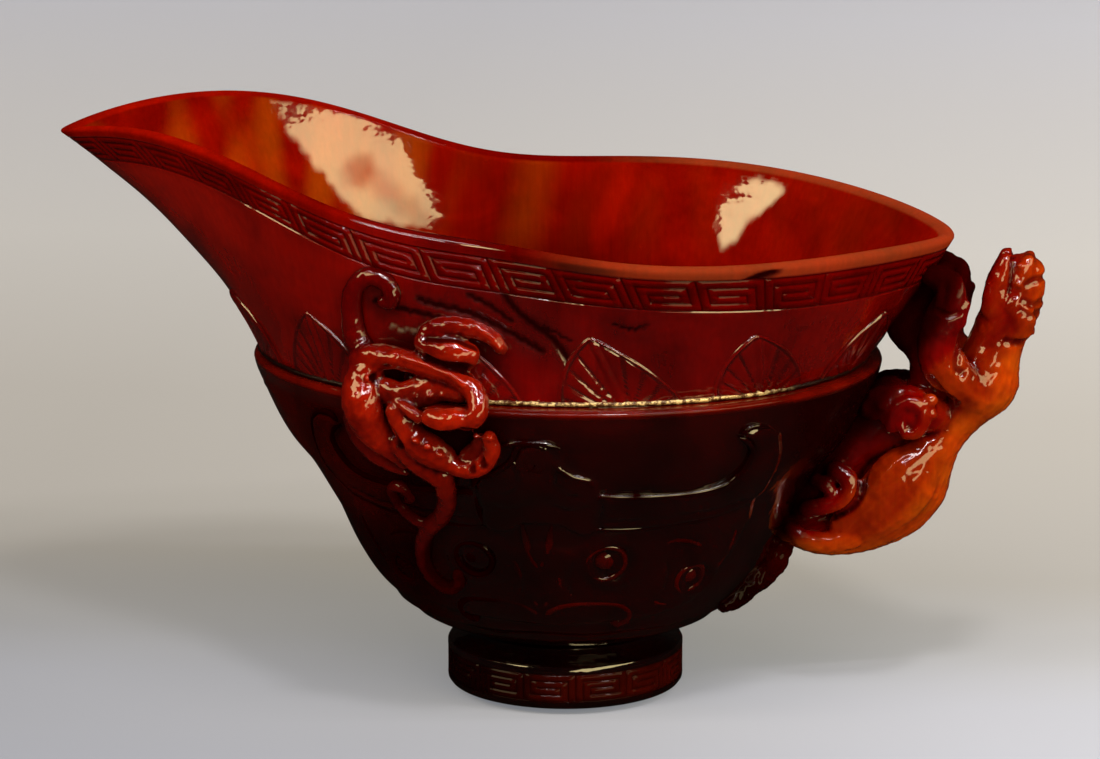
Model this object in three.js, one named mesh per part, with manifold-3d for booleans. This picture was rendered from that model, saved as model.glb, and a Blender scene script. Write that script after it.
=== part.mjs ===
// A carved horn libation cup: a boat-shaped bowl with a spout, in two sections on a turned foot, with a dragon
// for a handle and a dragon climbing each side. Millimetres, +Z up. The spout points to -X, the handle to +X,
// and the origin is the middle of the foot's flat underside.
import * as THREE from "three";
import { mergeVertices } from "three/addons/utils/BufferGeometryUtils.js";
import Module from "manifold-3d";

// Thickness of glue between pieces, the share of it within which two corners count as one, and the share of a
// piece's volume under which a loose bit left by a cut is a crumb
const glueGap = 0.3;
const weldShare = 0.001;
const crumbShare = 0.001;

// Mouth of the cup: its plan, how high its lowest point lies, and how far the spout rises above that
const mouthLength = 150.6;
const mouthWidth = 90.4;
const mouthShiftShare = -0.0704;
const lowRimHeight = 78.5;
const spoutRise = 16.5;

// Shares of half the mouth's length and width, and of the rise, at equal turns from spout tip to handle end
const rimAlongShares = [-1, -0.906, -0.683, -0.433, -0.206, -0.011, 0.19, 0.446, 0.726, 0.931, 1];
const rimAcrossShares = [0, 0.217, 0.511, 0.75, 0.805, 0.816, 0.947, 1, 0.723, 0.3, 0];
const rimRiseShares = [0.824, 0.945, 1, 0.721, 0.388, 0.248, 0.194, 0.139, 0.09, 0.036, 0];

// Flare of the upper section: a hollow curve at the spout, a full one at the handle
const sideFlareShare = 0.43;
const flareChangeShare = 0.17;
const waistWall = 4;
const lipWall = 2.6;

// Waist: shares of the mouth's length and width and of its low height, and how deep the upper section's foot stands
// in the lower one, whose ledge stands out past it at the ends and at the sides
const waistLengthShare = 0.6627;
const waistWidthShare = 0.9159;
const waistHeightShare = 0.7261;
const waistShift = -0.4;
const seatDepth = 5;
const ledgeReachEnds = 3.2;
const ledgeReachSides = 3.5;
const ledgeShift = 1.1;
const ledgeBevel = 0.8;

// Lower section: the swell of its outside, in shares of the climb from neck to ledge and of the growth in girth
const neckHeight = 9.8;
const neckRadius = 15.7;
const swellShares = [
  [0, 0],
  [0.025, 0.107],
  [0.061, 0.234],
  [0.091, 0.284],
  [0.19, 0.424],
  [0.3, 0.518],
  [0.479, 0.634],
  [0.608, 0.73],
  [0.72, 0.846],
  [0.841, 0.928],
  [0.958, 0.992],
];

// Hollow of the lower section, in shares of the climb from floor to seat and of its girth at the seat
const floorHeight = 16;
const hollowShares = [
  [0, 0.25],
  [0.045, 0.43],
  [0.13, 0.575],
  [0.28, 0.685],
  [0.5, 0.785],
  [0.72, 0.89],
  [0.89, 0.965],
];

// Foot: a turned disc with a concave shoulder and a round tenon
const footRadius = 19.8;
const footBevel = 0.9;
const footTopBevel = 0.3;
const bandHeight = 7.4;
const shoulderShares = [
  [0.75, 0.3],
  [0.2, 0.6],
];
const tenonRadius = 8;
const tenonHeight = 3.2;

// Bead of glue and gilding in the corner above the ledge
const beadWidth = 1.6;
const beadHeight = 1.2;
const beadTopShare = 0.3;

// Dragon handle: where its lowest point lies on the lower section's climb, how far its crown stays below the rim
// and reaches past it, and the greatest half thickness of its body as a share of its whole reach
const handleLowShare = 0.28;
const crownDrop = 2.5;
const crownReach = 14.7;
const handleGirthShare = 0.164;
const hipShare = 0.392;

// Body from hip to crown: shares of the reach, of the height and of the girth
const spineShares = [
  [-0.03, 0.11, 0.5],
  [0.135, 0.1, 0.68],
  [0.304, 0.14, 0.91],
  [0.443, 0.28, 1.05],
  [0.564, 0.381, 0.68],
  [0.653, 0.457, 0.46],
  [0.745, 0.57, 0.93],
  [0.786, 0.67, 0.76],
  [0.829, 0.774, 0.69],
  [0.884, 0.885, 0.68],
  [0.9, 0.938, 0.47],
];

// Legs and head: shares of the reach, of the height, of the girth to the side, and of the girth for thickness
const foreLegShares = [
  [0.72, 0.585, 0.45, 0.62],
  [0.655, 0.67, 0.8, 0.62],
  [0.615, 0.77, 0.92, 0.55],
  [0.62, 0.86, 0.92, 0.44],
];
const gripShares = [
  [0.64, 0.43, 0.3, 0.4],
  [0.55, 0.45, 0.75, 0.52],
  [0.46, 0.48, 0.95, 0.56],
];
const hindLegShares = [
  [0.47, 0.3, 0.55, 0.6],
  [0.36, 0.26, 0.75, 0.72],
  [0.25, 0.2, 0.8, 0.55],
  [0.15, 0.21, 0.8, 0.45],
];
const earShares = [
  [0.86, 0.86, 0.35, 0.34],
  [0.855, 0.93, 0.45, 0.27],
  [0.85, 0.965, 0.42, 0.18],
];
const snoutShares = [
  [0.88, 0.76, 0, 0.5],
  [0.91, 0.8, 0, 0.5],
  [0.915, 0.88, 0, 0.5],
  [0.9, 0.93, 0, 0.42],
];

// Where each leg meets the cup: degrees from the spout, and a depth below the rim or a share of the climb. It ends
// in two places, by shares of the girth: how far out of the wall, and how thick.
const pawDegrees = 171.5;
const pawDrop = 5.9;
const gripDegrees = 172;
const gripClimbShare = 0.84;
const hindDegrees = 171;
const hindClimbShare = 0.57;
const legEndShares = [
  [0.2, 0.42],
  [-0.1, 0.34],
];

// Forked tail under the handle, on the lower section: degrees from the spout, shares of its climb and of its girth
const tailLowShare = 0.1;
const tailHighShare = 0.3;
const tailGirth = 2.7;
const tailStemShares = [
  [180, 0.86, 0.8],
  [180, 0.68, 1],
  [180, 0.48, 0.95],
];
const tailForkShares = [
  [178.5, 0.56, 0.8],
  [174, 0.34, 0.8],
  [169, 0.2, 0.7],
  [165, 0.16, 0.5],
];

// Side dragon: each stroke is degrees from the spout, shares of the climb up the wall and of its girth, which is
// itself a share of the climb
const climbLowShare = 0.3;
const climbTopDrop = 0.5;
const climbGirthShare = 0.063;
const climbOutShare = 0.42;
const ledgeEaseShare = 0.42;
const crestShares = [
  [61, 0.73, 0.75],
  [59.5, 0.78, 0.68],
  [60.5, 0.86, 0.62],
  [63, 0.93, 0.56],
  [67, 0.965, 0.52],
  [70, 0.95, 0.5],
  [69.5, 0.91, 0.46],
  [67.5, 0.905, 0.42],
];
const backShares = [
  [61, 0.745, 0.75],
  [66, 0.74, 0.72],
  [73, 0.725, 0.7],
  [79.5, 0.695, 0.72],
  [82, 0.64, 0.72],
  [80, 0.585, 0.7],
  [75.5, 0.57, 0.72],
];
const haunchShares = [
  [62.5, 0.725, 0.85],
  [60, 0.665, 1.05],
  [59, 0.61, 1.1],
  [59.5, 0.545, 1],
  [62.5, 0.48, 0.8],
  [65.5, 0.42, 0.5],
];
const bellyShares = [
  [61, 0.67, 0.75],
  [67, 0.65, 0.72],
  [74, 0.635, 0.7],
];
const loinShares = [
  [62, 0.59, 0.85],
  [66.5, 0.56, 0.95],
  [70, 0.51, 1],
  [73, 0.46, 0.9],
];
const upperPawShares = [
  [74.5, 0.765, 0.62],
  [78.5, 0.78, 0.75],
  [83, 0.84, 0.55],
  [87, 0.85, 0.45],
  [89.5, 0.82, 0.36],
];
const lowerPawShares = [
  [71, 0.5, 0.85],
  [75.5, 0.44, 0.72],
  [79.5, 0.42, 0.6],
  [83.5, 0.46, 0.52],
  [84, 0.525, 0.46],
  [82, 0.545, 0.4],
];
const climbTailShares = [
  [72.5, 0.42, 0.68],
  [71, 0.31, 0.56],
  [67, 0.23, 0.52],
  [61, 0.17, 0.46],
  [58, 0.1, 0.44],
  [57.5, 0.03, 0.42],
  [62, -0.01, 0.4],
  [68, 0.015, 0.36],
  [70, 0.05, 0.32],
];
const climbCurlShares = [
  [64, 0.2, 0.4],
  [58.5, 0.215, 0.36],
  [56, 0.26, 0.34],
  [58.5, 0.31, 0.34],
  [61.5, 0.315, 0.32],
];

// Hidden horn pegs of the handle: one at the hip, one at each paw
const hipPegRadius = 1.8;
const hipPegLength = 9;
const hipPegSink = 3;
const pawPegRadius = 0.9;
const pawPegLength = 4.4;
const pawPegSink = 1.5;

// Fineness of the facets: how many there are
const aroundCount = 56;
const riseCount = 8;
const swellCount = 12;
const swellLookups = 60;
const hollowCount = 8;
const footSides = 40;
const limbSides = 8;
const pegSides = 12;
const stepsPerBend = 2;
const capSteps = 2;

const wasm = await Module();
wasm.setup();

// Solids and meshes

function solidOf(geometry) {
  const bare = geometry.index ? geometry.toNonIndexed() : geometry.clone();
  bare.deleteAttribute("normal");
  bare.deleteAttribute("uv");
  const merged = mergeVertices(bare, glueGap * weldShare);
  return new wasm.Manifold(
    new wasm.Mesh({
      numProp: 3,
      vertProperties: merged.attributes.position.array,
      triVerts: new Uint32Array(merged.index.array),
    }),
  );
}

function geometryOf(solid) {
  const mesh = solid.getMesh();
  const geometry = new THREE.BufferGeometry();
  geometry.setAttribute("position", new THREE.BufferAttribute(mesh.vertProperties, mesh.numProp));
  geometry.setIndex(new THREE.BufferAttribute(mesh.triVerts, 1));
  geometry.computeVertexNormals();
  return geometry;
}

function withoutCrumbs(solid) {
  const bodies = solid.decompose().filter((body) => body.volume() > solid.volume() * crumbShare);
  return bodies.reduce((all, next) => all.add(next));
}

// A closed skin over a run of rings. A ring of one point is a pole; loop joins the last ring to the first.
function loft(rings, loop = false) {
  const corners = [];
  const pairs = loop ? rings.length : rings.length - 1;
  for (let i = 0; i < pairs; i++) {
    const here = rings[i];
    const next = rings[(i + 1) % rings.length];
    const count = Math.max(here.length, next.length);
    for (let j = 0; j < count; j++) {
      const k = (j + 1) % count;
      if (here.length > 1) corners.push(here[j], here[k], next[k % next.length]);
      if (next.length > 1) corners.push(here[j % here.length], next[k], next[j]);
    }
  }
  return new THREE.BufferGeometry().setFromPoints(corners);
}

function grow(ring, amount) {
  return ring.map((place, i) => {
    const before = ring[(i + ring.length - 1) % ring.length];
    const after = ring[(i + 1) % ring.length];
    const out = new THREE.Vector3(after.y - before.y, before.x - after.x, 0).normalize();
    return place.clone().addScaledVector(out, amount);
  });
}

// Rings of the cup. Angles run from the spout tip, round by the front, to the handle.

function turns(outline) {
  return Array.from({ length: aroundCount }, (_, i) => outline((2 * Math.PI * i) / aroundCount));
}

function ellipse(angle, length, width, shift, height) {
  return new THREE.Vector3(
    shift - (length / 2) * Math.cos(angle),
    (-width / 2) * Math.sin(angle),
    height,
  );
}

const waistLength = mouthLength * waistLengthShare;
const waistWidth = mouthWidth * waistWidthShare;
const ledgeLength = waistLength + 2 * ledgeReachEnds;
const ledgeWidth = waistWidth + 2 * ledgeReachSides;
const ledgeHeight = lowRimHeight * waistHeightShare;

// The smooth wave through shares at equal turns: an even wave is mirrored at the ends, an odd one turned over.
function waveThrough(shares, even) {
  const steps = shares.length - 1;
  const curve = even ? Math.cos : Math.sin;
  const weights = shares.map((_, order) => {
    let sum = 0;
    shares.forEach((share, i) => {
      const half = i === 0 || i === steps ? 0.5 : 1;
      sum += half * share * curve((order * Math.PI * i) / steps);
    });
    const end = even && (order === 0 || order === steps) ? 0.5 : 1;
    return (end * 2 * sum) / steps;
  });
  return (angle) => weights.reduce((sum, weight, order) => sum + weight * curve(order * angle), 0);
}

const mouthShift = mouthLength * mouthShiftShare;
const rimAlong = waveThrough(rimAlongShares, true);
const rimAcross = waveThrough(rimAcrossShares, false);
const rimRise = waveThrough(rimRiseShares, true);

function rimPoint(angle) {
  return new THREE.Vector3(
    mouthShift + (mouthLength / 2) * rimAlong(angle),
    (-mouthWidth / 2) * rimAcross(angle),
    lowRimHeight + spoutRise * rimRise(angle),
  );
}

// Outside of the upper section: rise is 0 at the ledge and 1 at the rim.
function upperPoint(angle, rise) {
  const foot = ellipse(angle, waistLength, waistWidth, waistShift, ledgeHeight);
  const rim = rimPoint(angle);
  const bend = sideFlareShare - flareChangeShare * Math.cos(angle);
  const spread = 2 * rise * (1 - rise) * bend + rise * rise;
  const place = foot.clone().lerp(rim, spread);
  place.z = ledgeHeight + (rim.z - ledgeHeight) * rise;
  return place;
}

const swellCurve = new THREE.SplineCurve(swellShares.map(([climb, girth]) => new THREE.Vector2(climb, girth)));

// Outside of the lower section, at a share of the growth from neck to ledge.
function lowerPoint(angle, climb, girth) {
  const length = 2 * neckRadius + (ledgeLength - 2 * neckRadius) * girth;
  const width = 2 * neckRadius + (ledgeWidth - 2 * neckRadius) * girth;
  return ellipse(angle, length, width, ledgeShift * girth, climbHeight(climb));
}

function girthAt(climb) {
  const rows = [...swellCurve.getPoints(swellLookups), new THREE.Vector2(1, 1)];
  const above = Math.max(1, rows.findIndex((row) => row.x >= climb));
  const [low, high] = [rows[above - 1], rows[above]];
  return THREE.MathUtils.mapLinear(climb, low.x, high.x, low.y, high.y);
}

function climbHeight(share) {
  return THREE.MathUtils.lerp(neckHeight, ledgeHeight, share);
}

// A place on the cup's outside at an angle and a height, eased over the ledge, and lifted out by an amount.
function wallPoint(angle, height, out) {
  const place = (turn) => {
    if (height <= ledgeHeight) {
      const climb = Math.max(0, (height - neckHeight) / (ledgeHeight - neckHeight));
      return lowerPoint(turn, climb, girthAt(climb));
    }
    const rise = (height - ledgeHeight) / (rimPoint(turn).z - ledgeHeight);
    const ease = Math.max(0, 1 - (height - ledgeHeight) / ((lowRimHeight - ledgeHeight) * ledgeEaseShare));
    const step = lowerPoint(turn, 1, 1).sub(upperPoint(turn, 0));
    return upperPoint(turn, rise).addScaledVector(step, ease * ease);
  };
  const here = place(angle);
  const [before, after] = [place(angle - Math.PI / aroundCount), place(angle + Math.PI / aroundCount)];
  const outward = new THREE.Vector3(after.y - before.y, before.x - after.x, 0).normalize();
  return here.addScaledVector(outward, out);
}

// Upper section: the flared wall and its foot, which stands in the seat of the lower section
const seatHeight = ledgeHeight - seatDepth;
const waistRing = turns((angle) => ellipse(angle, waistLength, waistWidth, waistShift, ledgeHeight));

function levelled(ring, height) {
  return ring.map((place) => new THREE.Vector3(place.x, place.y, height));
}

function upperSection() {
  const outside = [];
  const inside = [];
  for (let i = 0; i <= riseCount; i++) {
    const rise = i / riseCount;
    const ring = turns((angle) => upperPoint(angle, rise));
    outside.push(ring);
    inside.unshift(grow(ring, -THREE.MathUtils.lerp(waistWall, lipWall, rise)));
  }
  const seatRing = levelled(waistRing, seatHeight);
  return solidOf(loft([seatRing, ...outside, ...inside, grow(seatRing, -waistWall)], true));
}

// Lower section: neck, swelling wall, ledge, seat for the upper section, hollow, and a socket for the foot's tenon
function roundRing(radius, height) {
  return turns((angle) => ellipse(angle, 2 * radius, 2 * radius, 0, height));
}

function lowerOutside() {
  const rings = [];
  for (let i = 0; i <= swellCount; i++) {
    const { x: climb, y: girth } = swellCurve.getPoint(i / swellCount);
    rings.push(turns((angle) => lowerPoint(angle, climb, girth)));
  }
  const ledgeRing = turns((angle) => lowerPoint(angle, 1, 1));
  rings.push(levelled(ledgeRing, ledgeHeight - ledgeBevel));
  rings.push(grow(ledgeRing, -ledgeBevel));
  return rings;
}

function hollowRing(climb, girth) {
  const length = (waistLength - 2 * waistWall) * girth;
  const across = THREE.MathUtils.lerp(1, (waistWidth - 2 * waistWall) / (waistLength - 2 * waistWall), girth);
  const height = THREE.MathUtils.lerp(floorHeight, seatHeight - glueGap, climb);
  return turns((angle) => ellipse(angle, length, length * across, waistShift * girth, height));
}

function lowerSection() {
  const socketTop = neckHeight + tenonHeight + glueGap;
  const seatFloor = seatHeight - glueGap;
  const hollowCurve = new THREE.SplineCurve(
    [...hollowShares, [1, 1]].map(([climb, girth]) => new THREE.Vector2(climb, girth)),
  );
  const hollow = [];
  for (let i = hollowCount; i >= 0; i--) {
    const { x: climb, y: girth } = hollowCurve.getPoint(i / hollowCount);
    hollow.push(hollowRing(climb, girth));
  }
  return solidOf(
    loft([
      [new THREE.Vector3(0, 0, socketTop)],
      roundRing(tenonRadius + glueGap, socketTop),
      roundRing(tenonRadius + glueGap, neckHeight),
      ...lowerOutside(),
      grow(waistRing, glueGap),
      levelled(grow(waistRing, glueGap), seatFloor),
      ...hollow,
      [new THREE.Vector3(0, 0, floorHeight)],
    ]),
  );
}

// Foot: turned, with its tenon glued up into the lower section
function foot() {
  const top = neckHeight - glueGap;
  const shoulder = shoulderShares.map(([girth, climb]) => [
    THREE.MathUtils.lerp(neckRadius, footRadius, girth),
    THREE.MathUtils.lerp(bandHeight, top, climb),
  ]);
  const profile = [
    [0, 0],
    [footRadius - footBevel, 0],
    [footRadius, footBevel],
    [footRadius, bandHeight - footTopBevel],
    [footRadius - footTopBevel, bandHeight],
    ...shoulder,
    [neckRadius, top],
    [tenonRadius, top],
    [tenonRadius, top + tenonHeight],
    [0, top + tenonHeight],
  ].map(([radius, height]) => new THREE.Vector2(radius, height));
  return solidOf(new THREE.LatheGeometry(profile, footSides).rotateX(Math.PI / 2));
}

// Bead in the corner: it lies on the ledge and against the flared wall. Margin grows its section all round.
function beadSolid(margin) {
  const low = ledgeHeight + glueGap - margin;
  const high = ledgeHeight + glueGap + beadHeight + margin;
  const onWall = (height) =>
    turns((angle) => upperPoint(angle, Math.max(0, height - ledgeHeight) / (rimPoint(angle).z - ledgeHeight)));
  const lowWall = levelled(onWall(low), low);
  const highWall = levelled(onWall(high), high);
  return solidOf(
    loft(
      [
        grow(lowWall, glueGap - margin),
        grow(lowWall, glueGap + beadWidth + margin),
        grow(highWall, glueGap + beadWidth * beadTopShare + margin),
        grow(highWall, glueGap - margin),
      ],
      true,
    ),
  );
}

// Everything that the carved pieces must stay clear of: both sections filled in, and the bead
function cupSpace() {
  const under = ledgeHeight - ledgeBevel;
  const middle = (shift, height) => [new THREE.Vector3(shift, 0, height)];
  const sides = lowerOutside().map((ring) => grow(ring, glueGap));
  const top = levelled(sides.pop(), ledgeHeight + glueGap);
  const lower = [middle(0, neckHeight), ...sides, top, middle(0, ledgeHeight + glueGap)];
  const flare = [];
  for (let i = 0; i <= riseCount; i++) {
    const ring = turns((angle) => upperPoint(angle, i / riseCount));
    flare.push(grow(ring, glueGap));
  }
  const upper = [
    middle(0, under),
    levelled(flare[0], under),
    ...flare,
    middle(mouthShift, lowRimHeight + spoutRise),
  ];
  return solidOf(loft(lower)).add(solidOf(loft(upper))).add(beadSolid(glueGap));
}

// A limb with round ends whose thickness changes along a smooth path through its places
function limb(places, radii) {
  const path = new THREE.CatmullRomCurve3(places);
  const steps = stepsPerBend * (places.length - 1);
  const side = new THREE.Vector3(0, 1, 0);
  const rings = [];
  for (let i = 0; i <= steps; i++) {
    const share = i / steps;
    const along = path.getTangent(share);
    side.addScaledVector(along, -side.dot(along)).normalize();
    const across = along.clone().cross(side);
    const here = share * (places.length - 1);
    const low = Math.min(Math.floor(here), places.length - 2);
    const radius = THREE.MathUtils.lerp(radii[low], radii[low + 1], here - low);
    const ring = (size, shift) =>
      Array.from({ length: limbSides }, (_, j) => {
        const turn = (2 * Math.PI * j) / limbSides;
        return path
          .getPoint(share)
          .addScaledVector(along, shift)
          .addScaledVector(side, size * Math.cos(turn))
          .addScaledVector(across, size * Math.sin(turn));
      });
    const capTurns = Array.from({ length: capSteps - 1 }, (_, j) => ((j + 1) * Math.PI) / (2 * capSteps));
    if (i === 0) {
      rings.push([path.getPoint(share).addScaledVector(along, -radius)]);
      capTurns.forEach((turn) => rings.push(ring(radius * Math.sin(turn), -radius * Math.cos(turn))));
    }
    rings.push(ring(radius, 0));
    if (i === steps) {
      capTurns.forEach((turn) => rings.push(ring(radius * Math.cos(turn), radius * Math.sin(turn))));
      rings.push([path.getPoint(share).addScaledVector(along, radius)]);
    }
  }
  return solidOf(loft(rings));
}

// Dragon handle: its legs end in the wall, where the space of the cup cuts them to a seat
const handleLow = climbHeight(handleLowShare);
const handleTall = lowRimHeight - crownDrop - handleLow;
const hipHeight = climbHeight(hipShare);
const pawHeight = lowRimHeight - pawDrop;
const hip = wallPoint(Math.PI, hipHeight, 0);
const handleReach = rimPoint(Math.PI).x + crownReach - hip.x;
const handleGirth = handleReach * handleGirthShare;

function handlePlace([reach, tall, out], side) {
  return new THREE.Vector3(
    hip.x + reach * handleReach,
    side * out * handleGirth,
    handleLow + tall * handleTall,
  );
}

function handleLimb(shares, side) {
  const radii = shares.map((row) => row[3] * handleGirth);
  return limb(shares.map((row) => handlePlace(row, side)), radii);
}

function handleLeg(shares, side, degrees, height) {
  const angle = side * THREE.MathUtils.degToRad(degrees);
  const places = shares.map((row) => handlePlace(row, side));
  const radii = shares.map((row) => row[3] * handleGirth);
  legEndShares.forEach(([out, thick]) => {
    places.push(wallPoint(angle, height, out * handleGirth));
    radii.push(thick * handleGirth);
  });
  return limb(places, radii);
}

function handleBody() {
  const spine = spineShares.map(([reach, tall, thick]) => [reach, tall, 0, thick]);
  const limbs = [handleLimb(spine, 1), handleLimb(snoutShares, 1)];
  [-1, 1].forEach((side) => {
    limbs.push(handleLimb(earShares, side));
    limbs.push(handleLeg(foreLegShares, side, pawDegrees, pawHeight));
    limbs.push(handleLeg(gripShares, side, gripDegrees, climbHeight(gripClimbShare)));
    limbs.push(handleLeg(hindLegShares, side, hindDegrees, climbHeight(hindClimbShare)));
  });
  return limbs.reduce((all, next) => all.add(next));
}

// Carving that lies on the wall: strokes given by degrees from the spout, climb and girth
function stroke(shares, side, low, high, girth) {
  const places = shares.map(([degrees, climb, thick]) => {
    const angle = side * THREE.MathUtils.degToRad(degrees);
    return wallPoint(angle, THREE.MathUtils.lerp(low, high, climb), climbOutShare * thick * girth);
  });
  return limb(places, shares.map((row) => row[2] * girth));
}

function handleTail() {
  const [low, high] = [climbHeight(tailLowShare), climbHeight(tailHighShare)];
  const forks = [1, -1].map((side) => stroke(tailForkShares, side, low, high, tailGirth));
  return stroke(tailStemShares, 1, low, high, tailGirth).add(forks[0]).add(forks[1]);
}

function sideDragon(side) {
  const [low, high] = [climbHeight(climbLowShare), lowRimHeight - climbTopDrop];
  const girth = (high - low) * climbGirthShare;
  const strokes = [
    crestShares,
    backShares,
    haunchShares,
    bellyShares,
    loinShares,
    upperPawShares,
    lowerPawShares,
    climbTailShares,
    climbCurlShares,
  ];
  return strokes.map((shares) => stroke(shares, side, low, high, girth)).reduce((all, next) => all.add(next));
}

// Pegs: each runs along X, sunk a little into the wall and the rest into the carving
function peg(name, radius, length, sink, angle, height) {
  const seat = wallPoint(angle, height, 0);
  const rod = (extra) =>
    solidOf(
      new THREE.CylinderGeometry(radius + extra, radius + extra, length + 2 * extra, pegSides)
        .rotateZ(-Math.PI / 2)
        .translate(seat.x - sink + length / 2, seat.y, seat.z),
    );
  return { name, rod: rod(0), bore: rod(glueGap) };
}

const pawAngle = THREE.MathUtils.degToRad(pawDegrees);
const pegs = [
  peg("hip_peg", hipPegRadius, hipPegLength, hipPegSink, Math.PI, hipHeight),
  peg("paw_peg_front", pawPegRadius, pawPegLength, pawPegSink, pawAngle, pawHeight),
  peg("paw_peg_back", pawPegRadius, pawPegLength, pawPegSink, -pawAngle, pawHeight),
];

// Assembly
const horn = { roughness: 0.22, metalness: 0 };
const redHorn = { ...horn, color: 0x5e150c };
const darkHorn = { ...horn, color: 0x2a0806 };
const amberHorn = { ...horn, color: 0xa63c0c };
const gilding = { color: 0xb08a3c, roughness: 0.45, metalness: 0.6 };

const space = cupSpace();
const bored = (solid) => pegs.reduce((rest, { bore }) => rest.subtract(bore), solid);
const carved = (solid) => withoutCrumbs(bored(solid.subtract(space)));
const pieces = [
  ["foot", foot(), darkHorn],
  ["lower_bowl", bored(lowerSection()), darkHorn],
  ["upper_bowl", bored(upperSection()), redHorn],
  ["seam_bead", beadSolid(0), gilding],
  ["handle_dragon", carved(handleBody()), amberHorn],
  ["handle_tail", carved(handleTail()), darkHorn],
  ["side_dragon_front", carved(sideDragon(1)), redHorn],
  ["side_dragon_back", carved(sideDragon(-1)), redHorn],
  ...pegs.map(({ name, rod }) => [name, rod, amberHorn]),
];

const cup = new THREE.Group();
for (const [name, solid, look] of pieces) {
  const mesh = new THREE.Mesh(geometryOf(solid), new THREE.MeshStandardMaterial(look));
  mesh.name = name;
  cup.add(mesh);
}

export default cup;
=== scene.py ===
import math
import bpy
import numpy as np
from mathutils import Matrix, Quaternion, Vector
from mathutils.bvhtree import BVHTree


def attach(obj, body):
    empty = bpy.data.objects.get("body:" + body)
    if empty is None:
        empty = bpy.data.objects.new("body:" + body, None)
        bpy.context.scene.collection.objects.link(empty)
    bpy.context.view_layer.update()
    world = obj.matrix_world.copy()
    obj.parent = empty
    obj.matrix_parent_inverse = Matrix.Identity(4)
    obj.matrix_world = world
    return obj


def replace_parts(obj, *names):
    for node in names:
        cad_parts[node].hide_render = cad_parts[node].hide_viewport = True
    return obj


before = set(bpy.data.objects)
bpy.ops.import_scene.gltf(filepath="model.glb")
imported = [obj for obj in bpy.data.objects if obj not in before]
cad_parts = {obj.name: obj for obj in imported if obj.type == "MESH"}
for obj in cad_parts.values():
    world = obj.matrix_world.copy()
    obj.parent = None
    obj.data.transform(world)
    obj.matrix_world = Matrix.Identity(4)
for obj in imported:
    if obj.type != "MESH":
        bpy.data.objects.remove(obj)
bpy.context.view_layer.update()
MM = 0.001

# Foot
# A disc of solid horn turned on a lathe, nearly black because no light gets through it, with a fret cut round its
# band. The short tenon on top is glued up into the bowl.


def colour(code):
    """The linear colour of an sRGB hex code, for a shader socket."""
    parts = [int(code[i:i + 2], 16) / 255 for i in (1, 3, 5)]
    return tuple(p / 12.92 if p <= 0.04045 else ((p + 0.055) / 1.055) ** 2.4 for p in parts) + (1.0,)


def add_node(tree, kind, inputs=None, out=None, **settings):
    """Adds a node with its settings; an input is a value or another node's output. Gives the node or one output."""
    node = tree.nodes.new(kind)
    for name, value in settings.items():
        setattr(node, name, value)
    for name, value in (inputs or {}).items():
        if isinstance(value, bpy.types.NodeSocket):
            tree.links.new(value, node.inputs[name])
        else:
            node.inputs[name].default_value = value
    return node if out is None else node.outputs[out]


def new_material(name):
    """An empty node material, and its tree."""
    material = bpy.data.materials.new(name)
    material.use_nodes = True
    material.node_tree.nodes.clear()
    return material, material.node_tree


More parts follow.
